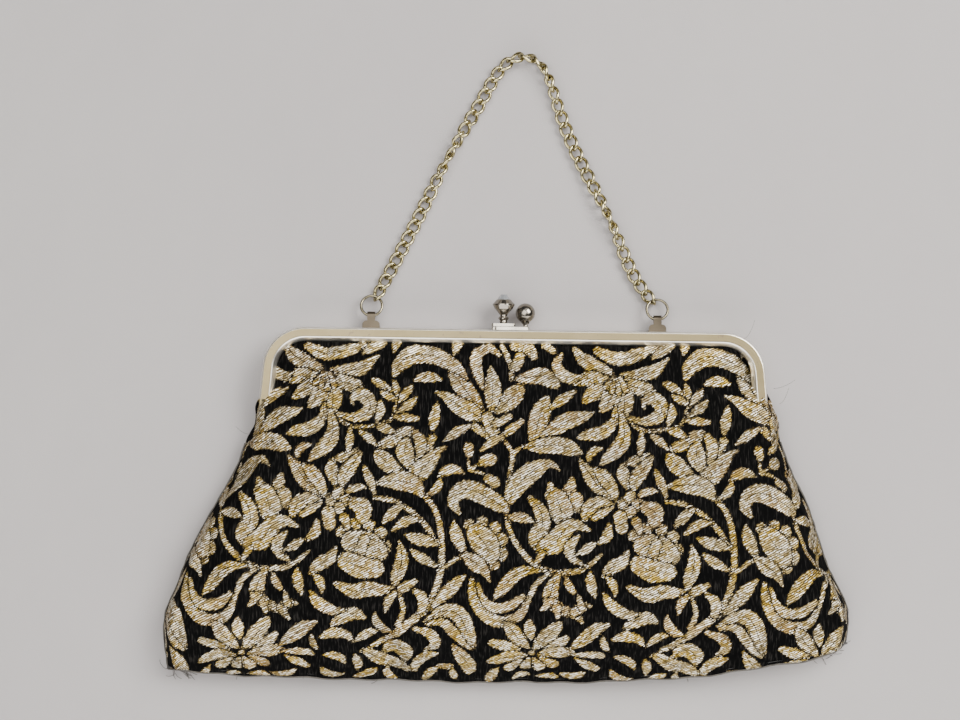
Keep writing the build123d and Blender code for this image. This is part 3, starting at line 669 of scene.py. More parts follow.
        [(44.6, -118.6, .6), (49, -115, 2.6), (54, -113.8, 2.2), (57.6, -116.2, .6)],
        [(36.4, -104.6, .5), (39.6, -109, 2.2), (44.6, -112, 1.9), (49.4, -112.2, .5)],
        [(36.2, -97.6, .6), (39.4, -94, 2.4), (43.6, -91.4, 2.2), (45.8, -87.4, .5)],
        [(40.6, -123.4, .6), (45, -121.6, 2.1), (50.4, -122.6, 1.6), (53, -126.2, .5)],
        [(34.4, -84.4, .6), (37.6, -81.2, 1.9), (38.4, -76.8, .6)],
    ],
}


def smoothStroke(points):
    # a rounded line through the points, so that petals and stems have no corners
    steps = 5
    p = np.array(points, float)
    if len(p) < 3:
        return p
    ends = np.vstack([2 * p[0] - p[1], p, 2 * p[-1] - p[-2]])
    t = np.linspace(0, 1, steps, endpoint=False)[:, None]
    rows = []
    for a, b, c, d in zip(ends, ends[1:], ends[2:], ends[3:]):
        rows.append(0.5 * (2 * b + (c - a) * t + (2 * a - 5 * b + 4 * c - d) * t ** 2
                           + (3 * b - a - 3 * c + d) * t ** 3))
    line = np.vstack(rows + [p[-1:]])
    line[:, 2] = np.clip(line[:, 2], 0.12, None)
    return line


def strokeDistance(x, y, line):
    # distance outside the stroke's edge, below zero inside, how far along it from 0 to 1, and
    # the signed distance from its middle line
    best = np.full(x.shape, 1e3)
    along = np.zeros(x.shape)
    across = np.zeros(x.shape)
    if len(line) == 1:
        gap = np.hypot(x - line[0, 0], y - line[0, 1])
        return gap - line[0, 2], along + 0.5, gap + 1
    for i in range(len(line) - 1):
        (ax, ay, ar), (bx, by, br) = line[i], line[i + 1]
        dx, dy = bx - ax, by - ay
        size = max(dx * dx + dy * dy, 1e-9)
        t = np.clip(((x - ax) * dx + (y - ay) * dy) / size, 0, 1)
        gap = np.hypot(x - ax - t * dx, y - ay - t * dy)
        edge = gap - (ar + t * (br - ar))
        closer = edge < best
        side = np.sign((x - ax) * dy - (y - ay) * dx) * gap
        best = np.where(closer, edge, best)
        along = np.where(closer, (i + t) / (len(line) - 1), along)
        across = np.where(closer, side, across)
    return best, along, across


farAway = 6.0    # mm, more than any dark line or petal edge reaches


def brocadeDesign(x, y):
    # top is the distance to the edge of the petal laid last here and under is that of the flowers
    # beneath it; tone goes from 0, silver, to 1, gold; vein is the distance from a middle line
    width = brocade["repeat"]
    u = (x + width / 2) % width - width / 2
    wander = np.sin(u * 1.9 + 1.2 * np.sin(y * 0.9)) * np.sin(y * 2.1 + 1.5 * np.sin(u * 0.7))
    lobes = brocade["lobes"] * (wander + 0.5 * np.sin(u * 3.3 - y * 2.7))
    top = np.full(x.shape, farAway)
    under = np.full(x.shape, farAway)
    tone = np.zeros(x.shape)
    vein = np.full(x.shape, farAway)

    def lay(points, cut, toneHere):
        line = smoothStroke(points)
        reach = line[:, 2].max() + 1.3
        # a wide petal has a dark line down the middle
        veined = cut and len(points) > 2 and line[:, 2].max() > brocade["veinFrom"]
        for shift in (-width, 0, width):
            moved = line + np.array([shift, 0, 0])
            near = ((u > moved[:, 0].min() - reach) & (u < moved[:, 0].max() + reach)
                    & (y > moved[:, 1].min() - reach) & (y < moved[:, 1].max() + reach))
            if not near.any():
                continue
            edge, along, across = strokeDistance(u[near], y[near], moved)
            edge = edge + lobes[near] - brocade["swell"]
            oldTop, oldUnder = top[near], under[near]
            whole = np.minimum(np.maximum(oldUnder, brocade["outline"] - oldTop), oldTop)
            close = edge < 1.2
            if cut:
                under[near] = np.where(close, whole, oldUnder)
                top[near] = np.where(close, edge, oldTop)
            else:
                top[near] = np.minimum(oldTop, edge)
            paint = toneHere + 0.5 * (1 - along) ** 2 - 0.15 + 0.06 * across
            tone[near] = np.where(edge < 0.4, paint, tone[near])
            fade = 2.5 * np.clip(along - 0.55, 0, 1) + 2.0 * np.clip(0.12 - along, 0, 1)
            middle = across + np.sign(across) * fade if veined else np.full(across.shape, farAway)
            vein[near] = np.where(edge < 0.3, middle, vein[near])

    for points in stems:
        lay(points, False, 0.3)
    dice = random.Random(11)
    for strokes in flowers.values():
        flowerTone = dice.uniform(0.0, 0.35)
        for points in strokes:
            lay(points, True, flowerTone + dice.uniform(-0.12, 0.2))
    for points in fillers:
        lay(points, True, dice.uniform(0.0, 0.5))
    return top, under, np.clip(tone, 0, 1), vein


def fillGaps():
    # small leaves wherever a wide patch of bare ground is left in the repeat
    width, cell = brocade["repeat"], 1.1
    x, y = np.meshgrid(np.arange(-width / 2, width / 2, cell), np.arange(-145, -5, cell))
    clear = np.full(x.shape, 9.0)    # distance from the nearest stroke, mm
    dice = random.Random(23)

    def keepClear(points):
        line = smoothStroke(points)
        for shift in (-width, 0, width):
            edge = strokeDistance(x.ravel(), y.ravel(), line + np.array([shift, 0, 0]))[0]
            np.minimum(clear, edge.reshape(x.shape) - brocade["swell"], out=clear)

    for points in stems + [line for strokes in flowers.values() for line in strokes]:
        keepClear(points)
    leaves = []
    while len(leaves) < brocade["mostLeaves"] and clear.max() > brocade["gap"]:
        spot = np.unravel_index(np.argmax(clear), clear.shape)
        room = min(clear[spot], brocade["widestLeaf"])
        angle = dice.uniform(0, 2 * math.pi)
        bend = dice.uniform(-0.5, 0.5)
        reach = (room - 0.5) * 1.15
        leaf = []
        for t, share in ((-1, 0.3), (-0.35, 1.0), (0.35, 0.85), (1, 0.1)):
            turn = angle + bend * t
            leaf.append((x[spot] + t * reach * math.cos(turn), y[spot] + t * reach * math.sin(turn),
                         max(0.2, share * room * 0.36)))
        leaves.append(leaf)
        keepClear(leaf)
    print("brocade:", len(leaves), "small leaves fill the gaps")
    return leaves


fillers = fillGaps()

# the brocade's finish: black ground, lurex flowers, slanting ribs
lurex = {
    # dark and light threads; for the ground, its black and the lighter colour of its painted sheen streaks
    "silver": ((0.12, 0.088, 0.036, 1), (0.82, 0.68, 0.39, 1)),
    "gold": ((0.17, 0.105, 0.012, 1), (0.84, 0.57, 0.07, 1)),
    "ground": ((0.001, 0.001, 0.001, 1), (0.013, 0.012, 0.011, 1)),
    "tan": (0.34, 0.20, 0.08, 1),
    # the near-white colour of the painted glints on the rib crests
    "paintedGlint": (1.0, 0.94, 0.80, 1),
    # colour of the painted shade between two ribs, also used for the black specks of the ground thread
    "gap": (0.022, 0.014, 0.007, 1),    # between two ribs
    "goldShare": -1.84,                 # nearer zero for more gold
    "metallic": 0.78,
    "relief": 0.00018,                  # m
}


def brocadeFinish():
    r = Recipe("brocade")
    cloth = r.field("cloth", "Vector")            # place on the flat cloth, mm
    across = r.add("ShaderNodeSeparateXYZ", {"Vector": cloth}, out=0)
    up = r.add("ShaderNodeSeparateXYZ", {"Vector": cloth}, out=1)
    lean = math.radians(brocade["ribAngle"])
    ribAxis = r.math("ADD", r.math("MULTIPLY", across, -math.sin(lean)),
                     r.math("MULTIPLY", up, math.cos(lean)))
    alongRib = r.math("ADD", r.math("MULTIPLY", across, math.cos(lean)),
                      r.math("MULTIPLY", up, math.sin(lean)))
    waver = r.noise(0.5, 2.0, cloth)
    ribPhase = r.math("MULTIPLY_ADD", ribAxis, 2 * math.pi / brocade["ribPitch"],
                      r.math("MULTIPLY", waver, 1.6))
    rib = r.math("MULTIPLY_ADD", r.math("SINE", ribPhase), 0.5, 0.5)
    # each rib is spun of short floats of thread
    floats = r.add("ShaderNodeCombineXYZ", {"X": r.math("MULTIPLY", alongRib, 0.75),
                                            "Y": r.math("MULTIPLY", ribAxis, 2.4), "Z": 0.0})
    thread = r.add("ShaderNodeTexVoronoi", {"Vector": floats, "Scale": 1.0}, out=1)
    threadGrey = r.add("ShaderNodeSeparateColor", {"Color": thread}, out=0)
    glint = r.noise(2.4, 3.0, cloth)

    # the flower's edge, stepped by the ribs, and the dark lines between petals
    top, under = r.field("top"), r.field("under")
    jag = r.math("MULTIPLY_ADD", rib, 0.5, -0.25)
    grainJag = r.math("MULTIPLY_ADD", glint, 0.5, -0.25)
    edgeTop = r.math("ADD", r.math("ADD", top, jag), grainJag)
    edgeUnder = r.math("ADD", r.math("ADD", under, jag), grainJag)
    dark = r.math("SUBTRACT", brocade["outline"], edgeTop)
    whole = r.math("MINIMUM", r.math("MAXIMUM", edgeUnder, dark), edgeTop)
    vein = r.math("SUBTRACT", brocade["vein"], r.math("ABSOLUTE", r.field("vein")))
    whole = r.math("MAXIMUM", whole, r.math("ADD", vein, r.math("MULTIPLY", grainJag, 0.4)))
    flower = r.math("SUBTRACT", 1.0, r.step(whole, -0.09, 0.09))

    # silver and gold lurex
    tone = r.field("tone")
    patch = r.noise(0.085, 3.0, cloth)
    band = r.add("ShaderNodeCombineXYZ", {"X": r.math("MULTIPLY", alongRib, 0.03),
                                          "Y": r.math("MULTIPLY", ribAxis, 0.35), "Z": 3.0})
    streak = r.noise(1.0, 2.0, band)
    gold = r.math("MULTIPLY_ADD", patch, 2.4, r.math("MULTIPLY_ADD", streak, 1.6, lurex["goldShare"]))
    gold = r.math("ADD", gold, r.math("MULTIPLY", tone, 0.85), clamp=True)
    silver = r.mix(threadGrey, *lurex["silver"])
    golden = r.mix(threadGrey, *lurex["gold"])
    metalTint = r.mix(gold, silver, golden)
    elsewhere = r.add("ShaderNodeMapping", {"Vector": cloth, "Location": (40, 7, 3)})
    tan = r.step(r.noise(0.06, 2.0, elsewhere), 0.5, 0.68)
    metalTint = r.mix(r.math("MULTIPLY", tan, 0.35), metalTint, lurex["tan"])
    # painted glints: near-white colour on the crests of the lighter threads' ribs
    paintedGlint = r.math("MULTIPLY", r.step(threadGrey, 0.62, 0.76), r.step(rib, 0.35, 0.7))
    metalTint = r.mix(paintedGlint, metalTint, lurex["paintedGlint"])
    # painted shade darkening the valleys between the ribs, and black specks where the ground thread shows
    # through
    ribValleyShade = r.math("MULTIPLY", r.step(rib, 0.68, 0.16), 0.93)
    speck = r.step(r.noise(1.3, 3.0, cloth), 0.56, 0.66)
    ribShadeAndSpecks = r.math("MAXIMUM", ribValleyShade, r.math("MULTIPLY", speck, 0.7))
    metalTint = r.mix(ribShadeAndSpecks, metalTint, lurex["gap"])
    # painted sheen: faint lighter streaks running up the black ground
    upright = r.add("ShaderNodeMapping", {"Vector": cloth, "Scale": (1.0, 0.12, 1.0)})
    groundSheenStreaks = r.step(r.noise(1.7, 3.0, upright), 0.50, 0.72)
    ground = r.mix(groundSheenStreaks, *lurex["ground"])
    colour = r.mix(flower, ground, metalTint)
    metallic = r.math("MULTIPLY", flower, lurex["metallic"])
    rough = r.blendNumber(flower, 0.9, r.math("MULTIPLY_ADD", glint, 0.5, 0.10))

    # relief: ribs inside the flowers and upright threads on the ground
    groundThread = r.math("MULTIPLY_ADD", r.math("SINE", r.math("MULTIPLY", across, 14.0)), 0.5, 0.5)
    ribHeight = r.math("ADD", rib, r.math("MULTIPLY", threadGrey, 0.7))
    height = r.blendNumber(flower, r.math("MULTIPLY", groundThread, 0.25), ribHeight)
    normal = r.bump(height, lurex["relief"], 0.8)
    return r.finish(Base_Color=colour, Metallic=metallic, Roughness=rough, Normal=normal,
                    Specular_IOR_Level=0.04)


def satinFinish():
    r = Recipe("black lining")
    where = r.place()
    weave = r.add("ShaderNodeTexWave", {"Scale": 900.0, "Distortion": 0.6, "Vector": where}, out=1)
    tint = r.mix(r.noise(60.0, 3.0, where), (0.012, 0.011, 0.011, 1), (0.035, 0.032, 0.03, 1))
    return r.finish(Base_Color=tint, Roughness=0.42, Normal=r.bump(weave, 0.00008, 0.4),
                    Sheen_Weight=0.3)


def buckramFinish():
    r = Recipe("buckram")
    where = r.place()
    weave = r.noise(1400.0, 1.0, where)
    tint = r.mix(weave, (0.55, 0.51, 0.43, 1), (0.72, 0.68, 0.60, 1))
    return r.finish(Base_Color=tint, Roughness=0.9, Normal=r.bump(weave, 0.0002, 0.5))


def threadFinish():
    r = Recipe("black thread")
    tint = r.mix(r.noise(500.0, 2.0, r.place()), (0.015, 0.014, 0.013, 1), (0.09, 0.08, 0.065, 1))
    return r.finish(Base_Color=tint, Roughness=0.75)


# the front half's metal, as the cloth meets it, mm
frameShape = {
    "halfWidth": 98.75,    # half the width across the legs at their tops
    "band": 5.6,           # width of the metal
    "corner": 17.0,        # radius of the outer corner
    "splay": 2.75,         # how far a leg leans out by its end
    "legs": 33.0,          # length of the legs
}

# the pouch: its edge, its fullness and how the cloth sits
pouch = {
    # (down from the bar's top edge, out to the left or right), mm
    "left": [(-4.6, -90), (-13.9, -93.6), (-22, -95.8), (-28, -101.5), (-31, -103.2), (-38.5, -103.6),
             (-44.6, -106.6), (-55, -110), (-67.5, -116.6), (-81.6, -124.4), (-92, -129.5),
             (-105.8, -134.5), (-113.8, -138.0), (-119, -138.9), (-138.2, -137.2)],
    "right": [(-4.6, 90), (-11.2, 93.4), (-20, 96.2), (-25.5, 102.6), (-30.3, 104.4), (-34.6, 106.6),
              (-41.4, 107), (-49.4, 109.7), (-56.2, 112.4), (-65.7, 117.4), (-82.8, 123.6),
              (-93.6, 127.4), (-102.3, 131.9), (-108.3, 134.8), (-118.7, 135.4), (-123.9, 134.6)],
    # (across, down from the bar's top edge)
    "base": [(-137.2, -138.2), (-120, -138.8), (-102, -139.9), (-84.4, -140.3), (-47.6, -140.9),
             (-7.6, -141.4), (44.4, -139.8), (74, -137.4), (96, -134), (111, -131), (122, -128.9),
             (134.6, -123.9)],
    # (down from the bar's top edge, height of the front above the floor)
    "fullness": [(-3, 12.4), (-6.4, 12.8), (-9, 13.4), (-13, 13.9), (-22, 14.4), (-34, 14.6), (-60, 15.4),
                 (-85, 16.6), (-110, 17.6), (-126, 16.8), (-134, 14.2), (-139, 10.6), (-142, 7.4)],
    "baseEnds": (-137.0, 134.5),      # where the base seam starts and stops, mm across
    "seamHeight": 6.4,     # the side seams above the floor, mm
    "legSeamRise": 3.2,    # how much higher the seams stand beside the legs, mm
    "legSeamFrom": 38.0,   # they rise from this far below the bar's top, mm
    "legSeamOver": 14.0,   # over this height, mm
    "cloth": (272, 137),   # width and height that the cells are counted over, mm
    "cell": 3.9,           # size of the simulated cloth's cells, mm
    "fine": 6,             # finished cells to each simulated one, at the front
    "backFine": 3,
    "liningFine": 2,
    "tuck": 2.6,           # how far the cloth goes in under the frame's lip, mm
    "gripFrom": 28.0,      # the legs begin to hold the cloth this far below the bar's top, mm
    "gripOver": 12.0,      # and hold it fully this much higher, mm
    "channel": 3.6,        # from the frame's face down to the edge of the cloth, mm
    "swellOver": 1.5,      # how soon the cloth rises beside the lip, mm
    "pleats": (0.32, 0.3), # heights of the fine and the broad pleats under the bar, mm
    "waves": 0.8,          # height of the soft hollows in the cloth, mm
    "backHeight": 0.25,    # the back cloth above the floor, mm
    "backChannel": 3.5,    # and in the back half's channel, mm
    "backWidth": 93.8,     # half the back cloth's width between the legs, mm
    "climbFrom": 41.0,     # the back climbs to its channel from this far below the bar's top, mm
    "climbOver": 8.0,      # over this height, mm
    "bend": (15.0, 1.0),   # the opening front bends between these, below the hinge line, mm
    "lining": (-1.6, 1.3),       # upwards from the front and the back cloth, mm
    "buckram": (-0.8, 0.7),      # the same
    "buckramUp": 0.66,           # share of the pouch's height that the buckram reaches
}

# how the front cloth settles over what is inside
settling = {
    "frames": 16,
    "slack": 0.018,        # spare cloth, as a share of its size
    "lift": 0.5,           # push from inside, m/s2
    "most": 2.6,           # most that a point may move, mm
    "quality": 6,
    "mass": 0.25,
    "stretch": 30,
    "shear": 12,
    "bend": 1.2,
    "damping": 15,
}


def smoothRise(share):
    share = np.clip(share, 0, 1)
    return share * share * (3 - 2 * share)


def table(points, at):
    # a smooth curve through the points of a table
    p = sorted(points)
    xs, ys = np.array([a for a, _ in p]), np.array([b for _, b in p])
    slopes = np.gradient(ys, xs)
    i = np.clip(np.searchsorted(xs, at) - 1, 0, len(xs) - 2)
    h = xs[i + 1] - xs[i]
    t = np.clip((at - xs[i]) / h, 0, 1)
    return ((2 * t ** 3 - 3 * t ** 2 + 1) * ys[i] + (t ** 3 - 2 * t ** 2 + t) * h * slopes[i]
            + (-2 * t ** 3 + 3 * t ** 2) * ys[i + 1] + (t ** 3 - t ** 2) * h * slopes[i + 1])


def insideFrame(x, y):
    # how far a point lies inside the frame's inner edge, mm
    band = frameShape["band"]
    legs = frameShape["halfWidth"] - band + frameShape["splay"] * np.clip(-y / frameShape["legs"], 0, 1.3)
    inner = frameShape["corner"] - band
    px, py = np.abs(x) - (legs - inner), y + band + inner
    rounded = inner - np.hypot(np.maximum(px, 0), np.maximum(py, 0))
    return np.where((px > 0) & (py > 0), rounded, np.minimum(legs - np.abs(x), -band - y))


def gripHere(y):
    # 0 where the cloth hangs free, 1 where the legs hold it
    return smoothRise((y + pouch["gripFrom"]) / pouch["gripOver"])


def frontEdges(across, upward):
    # where a point of the front cloth lies, from its share across and up, measured from the bar's top
    tuck, band = pouch["tuck"], frameShape["band"]
    start, stop = pouch["baseEnds"]
    along = start + (stop - start) * across
    base = table(pouch["base"], along) + 0.3 * np.sin(along / 2.7) + 0.3 * np.sin(along / 7.3 + 1)
    side = frameShape["halfWidth"] - band + tuck
    corner = frameShape["corner"] - band + tuck
    past = np.clip(np.abs(side * (2 * across - 1)) - (side - corner), 0, corner)
    top = -band + tuck - (corner - np.sqrt(corner ** 2 - past ** 2)) * 0.94
    y = base + (top - base) * upward
    held = side + frameShape["splay"] * np.clip(-y / frameShape["legs"], 0, 1)
    loose = 1 - gripHere(y)
    left = -held * (1 - loose) + table(pouch["left"], y) * loose
    right = held * (1 - loose) + table(pouch["right"], y) * loose
    return left * (1 - across) + right * across, y


def softNoise(x, y, seed):
    # smooth waves in seven directions, the same for the same seed
    dice = random.Random(seed)
    total = np.zeros(np.shape(x))
    longest = 52    # mm
    for _ in range(7):
        angle = dice.uniform(0, math.pi)
        length = dice.uniform(14, longest)
        phase = (x * math.cos(angle) + y * math.sin(angle)) * 2 * math.pi / length
        total += np.sin(phase + dice.uniform(0, 6.3)) * length / longest
    return total / 3.2


def frontSheet(columns, rows):
    # the front cloth before it settles, as rows from the base up
    across, upward = np.meshgrid(np.linspace(0, 1, columns + 1), np.linspace(0, 1, rows + 1))
    upward = upward ** 1.12    # more rows near the rolled base
    x, y = frontEdges(across, upward)
    full = table(pouch["fullness"], y)
    side = np.abs(2 * across - 1)
    roundness = (1 - side ** 7) ** (1 / 5.0)
    legShare = np.clip((y + pouch["legSeamFrom"]) / pouch["legSeamOver"], 0, 1)
    edge = pouch["seamHeight"] + pouch["legSeamRise"] * legShare
    z = edge + (full - edge) * roundness
    # held in the frame the cloth starts under the lip and swells out beside it
    inside = np.clip(insideFrame(x, y), 0, None)
    channel = frontFace - pouch["channel"]
    held = channel + (full - channel) * (1 - np.exp(-inside / pouch["swellOver"]))
    grip = gripHere(y)
    z = z * (1 - grip) + held * grip
    # soft pleats under the bar, and shallow hollows lower down
    under = np.clip((-y - 6) / 5, 0, 1) * np.exp(-np.clip(-y - 8, 0, None) / 15)
    fine, broad = pouch["pleats"]
    pleats = np.sin(x / 2.3 + 1.7 * np.sin(x / 11.0)) * fine + np.sin(x / 5.1 + 2.0) * broad
    pleats = pleats * np.clip(inside / 3, 0, 1)
    z = z + under * pleats * roundness
    z = z + pouch["waves"] * softNoise(x, y, 5) * roundness * np.clip((-y - 12) / 20, 0, 1)
    return np.stack([x, y + topY, z], -1)


def flattened(points, floorHeight):
    # where each point lay on the cloth before it was turned at the sides and the base; the front
    # turns down from its fullest height, and the back turns up from the height given
    flat = points.copy()
    down = points[..., 1] - topY
    most = 12    # mm of cloth turned
    if floorHeight is None:
        full = table(pouch["fullness"], down)
        turned, baseTurned = np.clip(full - points[..., 2], 0, most), np.clip(17.4 - full, 0, most)
    else:
        turned = baseTurned = np.clip(points[..., 2] - floorHeight, 0, most)
    middle = 1 - np.abs(np.linspace(-1, 1, points.shape[1]))[None, :]
    sideShare = np.clip(1 - middle / 0.12, 0, 1) * np.clip((-down - 26) / 6, 0, 1)
    flat[..., 0] += np.sign(points[..., 0]) * turned * sideShare
    flat[..., 1] -= baseTurned * np.clip((-down - 118) / 10, 0, 1) * (1 - sideShare)
    return flat


def settleCloth(points):
    # the front's cloth, a little larger than its seams, pushed out by what is inside
    piece = gridMesh("settling", points)
    rows, columns = points.shape[:2]
    rim = piece.vertex_groups.new(name="sewn")
    ids = np.arange(rows * columns).reshape(rows, columns)
    edge = np.concatenate([ids[0], ids[-1], ids[:, 0], ids[:, -1]])
    rim.add([int(i) for i in set(edge.tolist())], 1.0, "REPLACE")
    scene = bpy.context.scene
    gravity = scene.gravity.copy()
    scene.gravity = (0, 0, settling["lift"])
    cloth = piece.modifiers.new("cloth", "CLOTH")
    settings = cloth.settings
    settings.quality = settling["quality"]
    settings.mass = settling["mass"]
    settings.tension_stiffness = settling["stretch"]
    settings.compression_stiffness = settling["stretch"]
    settings.shear_stiffness = settling["shear"]
    settings.bending_stiffness = settling["bend"]
    settings.tension_damping = settling["damping"]
    settings.vertex_group_mass = "sewn"
    settings.shrink_min = -settling["slack"]
    settings.shrink_max = -settling["slack"]
    cloth.collision_settings.use_collision = False
    cloth.point_cache.frame_start = 1
    cloth.point_cache.frame_end = settling["frames"]
    for step in range(1, settling["frames"] + 1):
        scene.frame_set(step)
    solved = piece.evaluated_get(bpy.context.evaluated_depsgraph_get())
    settled = np.array([v.co for v in solved.data.vertices]).reshape(points.shape) / mm
    scene.frame_set(1)
    scene.gravity = gravity
    bpy.data.objects.remove(piece, do_unlink=True)
    moved = settled - points
    size = np.linalg.norm(moved, axis=-1, keepdims=True)
    moved *= np.minimum(1, settling["most"] / np.maximum(size, 1e-6))
    print("cloth settled: it would move up to", round(float(size.max()), 2), "mm")
    return points + moved


def finer(points, times):
    # a smooth, denser copy of a sheet
    def weights(n):
        # each new row's shares of the old rows around it
        m = (n - 1) * times + 1
        matrix = np.zeros((m, n))
        for k in range(m):
            i = min(k // times, n - 2)
            t = k / times - i
            cubic = (0.5 * (-t + 2 * t ** 2 - t ** 3), 0.5 * (2 - 5 * t ** 2 + 3 * t ** 3),
                     0.5 * (t + 4 * t ** 2 - 3 * t ** 3), 0.5 * (-t ** 2 + t ** 3))
            for j, share in zip(range(i - 1, i + 3), cubic):
                if j < 0:
                    matrix[k, 0] += 2 * share
                    matrix[k, 1] -= share
                elif j > n - 1:
                    matrix[k, n - 1] += 2 * share
                    matrix[k, n - 2] -= share
                else:
                    matrix[k, j] += share
        return matrix

    rows, columns = weights(points.shape[0]), weights(points.shape[1])
    return np.einsum("ab,bcd,ec->aed", rows, points, columns)


def outward(points):
    # unit normals of a sheet
    normal = np.cross(np.gradient(points, axis=1), np.gradient(points, axis=0))
    return normal / np.maximum(np.linalg.norm(normal, axis=-1, keepdims=True), 1e-9)


def paintBrocade(points, flat, name, flip=False):
    # lay the design on the sheet, raise the flowers and keep the fields for the finish
    x, y = flat[..., 0], flat[..., 1] - topY
    top, under, tone, vein = brocadeDesign(x, y)
    whole = np.minimum(np.maximum(under, brocade["outline"] - top), top)
    rise = brocade["relief"] * np.clip(0.5 - whole / 0.9, 0, 1)
    rim = np.ones(rise.shape)
    rim[:2], rim[-2:], rim[:, :2], rim[:, -2:] = 0, 0, 0, 0
    sign = -1 if flip else 1
    raised = points + sign * outward(points) * (rise * rim)[..., None]
    piece = gridMesh(name, raised, flip)
    for field, values in (("top", top), ("under", under), ("tone", tone), ("vein", vein)):
        giveField(piece, field, values)
    giveVectors(piece, "cloth", np.stack([x, y, np.zeros_like(x)], -1))
    return piece


def backSheet(front):
    # the back lies flat and meets the front along the seams; its top steps into the back channel
    rows, columns = front.shape[:2]
    across = np.linspace(0, 1, columns)[None, :]
    x = front[:, :1, 0] * (1 - across) + front[:, -1:, 0] * across
    y = front[..., 1].copy()
    side = np.abs(2 * across - 1)
    fromBase = np.linspace(0, 1, rows)[:, None]
    low = pouch["backHeight"]
    z = low + (pouch["seamHeight"] - low) * np.clip((side - 0.955) / 0.045, 0, 1) ** 1.6
    z = np.maximum(z, low + (front[:1, :, 2] - low) * np.clip(1 - fromBase / 0.035, 0, 1) ** 1.5)
    # above the hinge line the back narrows to pass between the legs and climbs to the channel
    rise = smoothRise((y - topY + pouch["climbFrom"]) / pouch["climbOver"])
    narrow = pouch["backWidth"] / np.maximum(np.abs(x).max(1, keepdims=True), 1)
    x = x * (1 + (np.minimum(narrow, 1) - 1) * rise)
    z = z * (1 - rise) + pouch["backChannel"] * rise
    return np.stack([x, y, z], -1)


def offsetSheet(points, distance):
    return points + outward(points) * distance


def makePouch():
    columns, rows = (int(round(size / pouch["cell"])) for size in pouch["cloth"])
    start = frontSheet(columns, rows)
    coarse = settleCloth(start)
    flatFine = finer(flattened(start, None), pouch["fine"])
    frontFine = finer(coarse, pouch["fine"])
    material = brocadeFinish()

    front = paintBrocade(frontFine, flatFine, "front_brocade")
    front.data.materials.append(material)
    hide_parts("front_panel_upper", "front_panel_lower")
    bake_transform(front)

    backCoarse = backSheet(start)
    backFlat = flattened(backCoarse, pouch["backHeight"])
    backFlatFine = finer(backFlat, pouch["backFine"])
    back = paintBrocade(finer(backCoarse, pouch["backFine"]), backFlatFine, "back_brocade", flip=True)
    back.data.materials.append(material)
    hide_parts("back_panel")
    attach(back, rootBody)
    print("pouch:", len(front.data.polygons), "front faces,", len(back.data.polygons), "back faces")

    satin = satinFinish()
    inFront, inBack = pouch["lining"]
    denser = pouch["liningFine"]
    liningFront = gridMesh("front_lining_cloth", finer(offsetSheet(coarse, inFront), denser), flip=True)
    liningFront.data.materials.append(satin)
    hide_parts("front_lining_lower", "front_lining_upper")
    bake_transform(liningFront)
    flattened(start, None)
    liningBack = gridMesh("back_lining_cloth", finer(offsetSheet(backCoarse, inBack), denser))
    liningBack.data.materials.append(satin)
    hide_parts("back_lining")
    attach(liningBack, rootBody)

    stiff = buckramFinish()
    inside = (slice(4, int(rows * pouch["buckramUp"])), slice(5, -5))
    inFront, inBack = pouch["buckram"]
    for name, node, sheet, distance in (("front_buckram", "front_interlining", coarse, inFront),
                                        ("back_buckram", "back_interlining", backCoarse, inBack)):
        piece = gridMesh(name, finer(offsetSheet(sheet, distance)[inside], denser))
        piece.data.materials.append(stiff)
        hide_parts(node)
        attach(piece, rootBody)
    print("pouch: lining and buckram ready")
    return frontFine


# the card that stiffens the base, just inside the base seam, mm
baseCard = {"from": 2.6, "to": 3.6, "low": 3.6, "high": 8.2, "ends": 30}


def makeBaseBoard(front):
    near, far, low, high = (baseCard[key] for key in ("from", "to", "low", "high"))
    line = front[0, baseCard["ends"]:-baseCard["ends"]:6, :2]
    verts, faces = [], []
    for x, y in line:
        for dy, z in ((near, low), (far, low), (far, high), (near, high)):
            verts.append((x * mm, (y + dy) * mm, z * mm))
    for i in range(len(line) - 1):
        for j in range(4):
            k = (j + 1) % 4
            faces.append((i * 4 + j, (i + 1) * 4 + j, (i + 1) * 4 + k, i * 4 + k))
    last = 4 * (len(line) - 1)
    faces += [(0, 1, 2, 3), (last + 3, last + 2, last + 1, last)]
    board = newMesh("board_strip", verts, faces, smooth=False)
    r = Recipe("grey board")
    flecks = r.noise(900.0, 3.0, r.place())
    tint = r.mix(flecks, (0.30, 0.26, 0.21, 1), (0.48, 0.43, 0.36, 1))
    board.data.materials.append(r.finish(Base_Color=tint, Roughness=0.9, Normal=r.bump(flecks, 0.0001, 0.5)))
    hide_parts("base_board")
    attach(board, rootBody)


# seams and stray threads
def tube(path, radius, sides):
    # a round thread along a line of points in mm
    path = np.asarray(path, float)
    ahead = np.gradient(path, axis=0)
    ahead /= np.maximum(np.linalg.norm(ahead, axis=1), 1e-9)[:, None]
    side = np.cross(ahead, (0.0, 0.0, 1.0))
    side /= np.maximum(np.linalg.norm(side, axis=1), 1e-9)[:, None]
    rise = np.cross(side, ahead)
    size = np.broadcast_to(radius, (len(path),))[:, None]
    angles = np.linspace(0, 2 * math.pi, sides, endpoint=False)
    rings = np.stack([path + size * (math.cos(a) * side + math.sin(a) * rise) for a in angles], 1)
    verts = rings.reshape(-1, 3).tolist()
    faces = []
    for i in range(len(path) - 1):
        for j in range(sides):
            k = (j + 1) % sides
            faces.append((i * sides + j, i * sides + k, (i + 1) * sides + k, (i + 1) * sides + j))
    faces.append(tuple(range(sides))[::-1])
    faces.append(tuple((len(path) - 1) * sides + j for j in range(sides)))
    return verts, faces


def joined(name, tubes, material):
    # one piece from several tubes, on the pouch
    verts, faces = [], []
    for points, quads in tubes:
        first = len(verts)
        verts.extend([[c * mm for c in p] for p in points])
        faces.extend([tuple(i + first for i in face) for face in quads])
    piece = newMesh(name, verts, faces)
    piece.data.materials.append(material)
    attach(piece, rootBody)


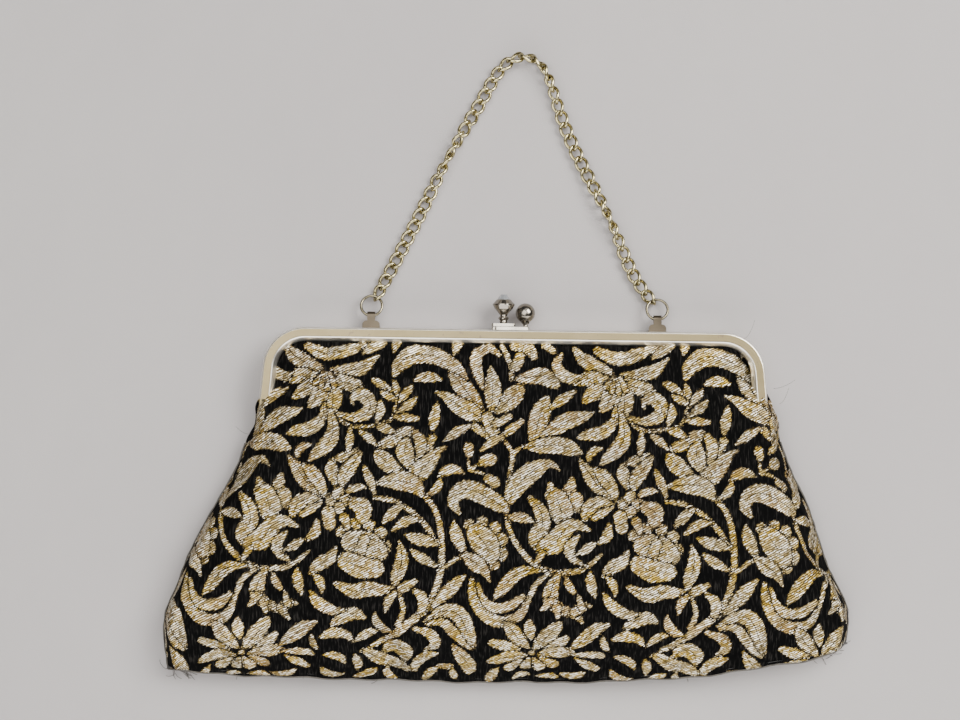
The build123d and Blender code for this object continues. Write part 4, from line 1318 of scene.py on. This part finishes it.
frayed = {
    "sideSeam": (0.30, 0.14),    # radius and how much it swells, mm
    "baseSeam": 0.34,            # radius, mm
    "base": 24,                  # threads along the base
    "corners": 34,               # threads at its two corners
    "longest": 8.0,              # mm
    "thread": 0.085,             # radius, mm
    "strayThread": 0.06,
    "strays": [(91.5, -2.2, 4.6, 7.5), (103.5, -22, 9.0, 3.6), (106.0, -28, 4.0, 6.4),
               (-105.5, -43, -5.4, 3.0)],    # across and down from the bar, reach across and up
}


def makeSeams(front):
    black = threadFinish()
    below = front[:, :, 1].mean(1) < topY + hingeY - 3
    edges = []
    for column in (0, -1):
        line = front[below][::3, column].copy()
        turn = np.arange(len(line))
        line[:, 0] += np.where(line[:, 0] < 0, -0.1, 0.1) + 0.075 * np.sin(turn * 1.9)
        radius, swell = frayed["sideSeam"]
        edges.append(tube(line, radius + swell * np.sin(turn * 0.7) ** 2, 8))
    joined("side_seams", edges, black)
    joined("base_seam", [tube(front[0, ::4].copy(), frayed["baseSeam"], 8)], black)

    dice = random.Random(4)
    threads = []
    base = front[0]
    picks = [dice.random() for _ in range(frayed["base"])]
    picks += [dice.uniform(0, 0.03) for _ in range(frayed["corners"] // 2)]
    picks += [dice.uniform(0.955, 1) for _ in range(frayed["corners"] // 2)]
    for share in picks:
        x, y, height = base[int(share * (len(base) - 1))]
        corner = share < 0.035 or share > 0.95
        length = dice.uniform(2.0, frayed["longest"]) * (1.0 if corner else 0.6)
        angle = math.radians(dice.uniform(-160, -20))
        bend = dice.uniform(-0.35, 0.35)
        y += 0.5
        line = []
        for i in range(9):
            line.append((x, y, max(0.12, height * (1 - i / 5))))
            x += math.cos(angle) * length / 8
            y += math.sin(angle) * length / 8
            angle += bend
        threads.append(tube(line, frayed["thread"], 4))
    for x, down, reachX, reachY in frayed["strays"]:
        line = [(x + reachX * t, topY + down + reachY * t ** 1.6, 13.3 - 3.0 * t + 1.6 * math.sin(3 * t))
                for t in np.linspace(0, 1, 10)]
        threads.append(tube(line, frayed["strayThread"], 4))
    joined("frayed_threads", threads, black)
    print("seams and threads ready:", len(threads), "threads")


makeCamera()
makeStudio()
print("camera and studio ready")
finishMetal()
makeChain()
frontCloth = makePouch()
makeBaseBoard(frontCloth)
makeSeams(frontCloth)

print("clutch purse: done")
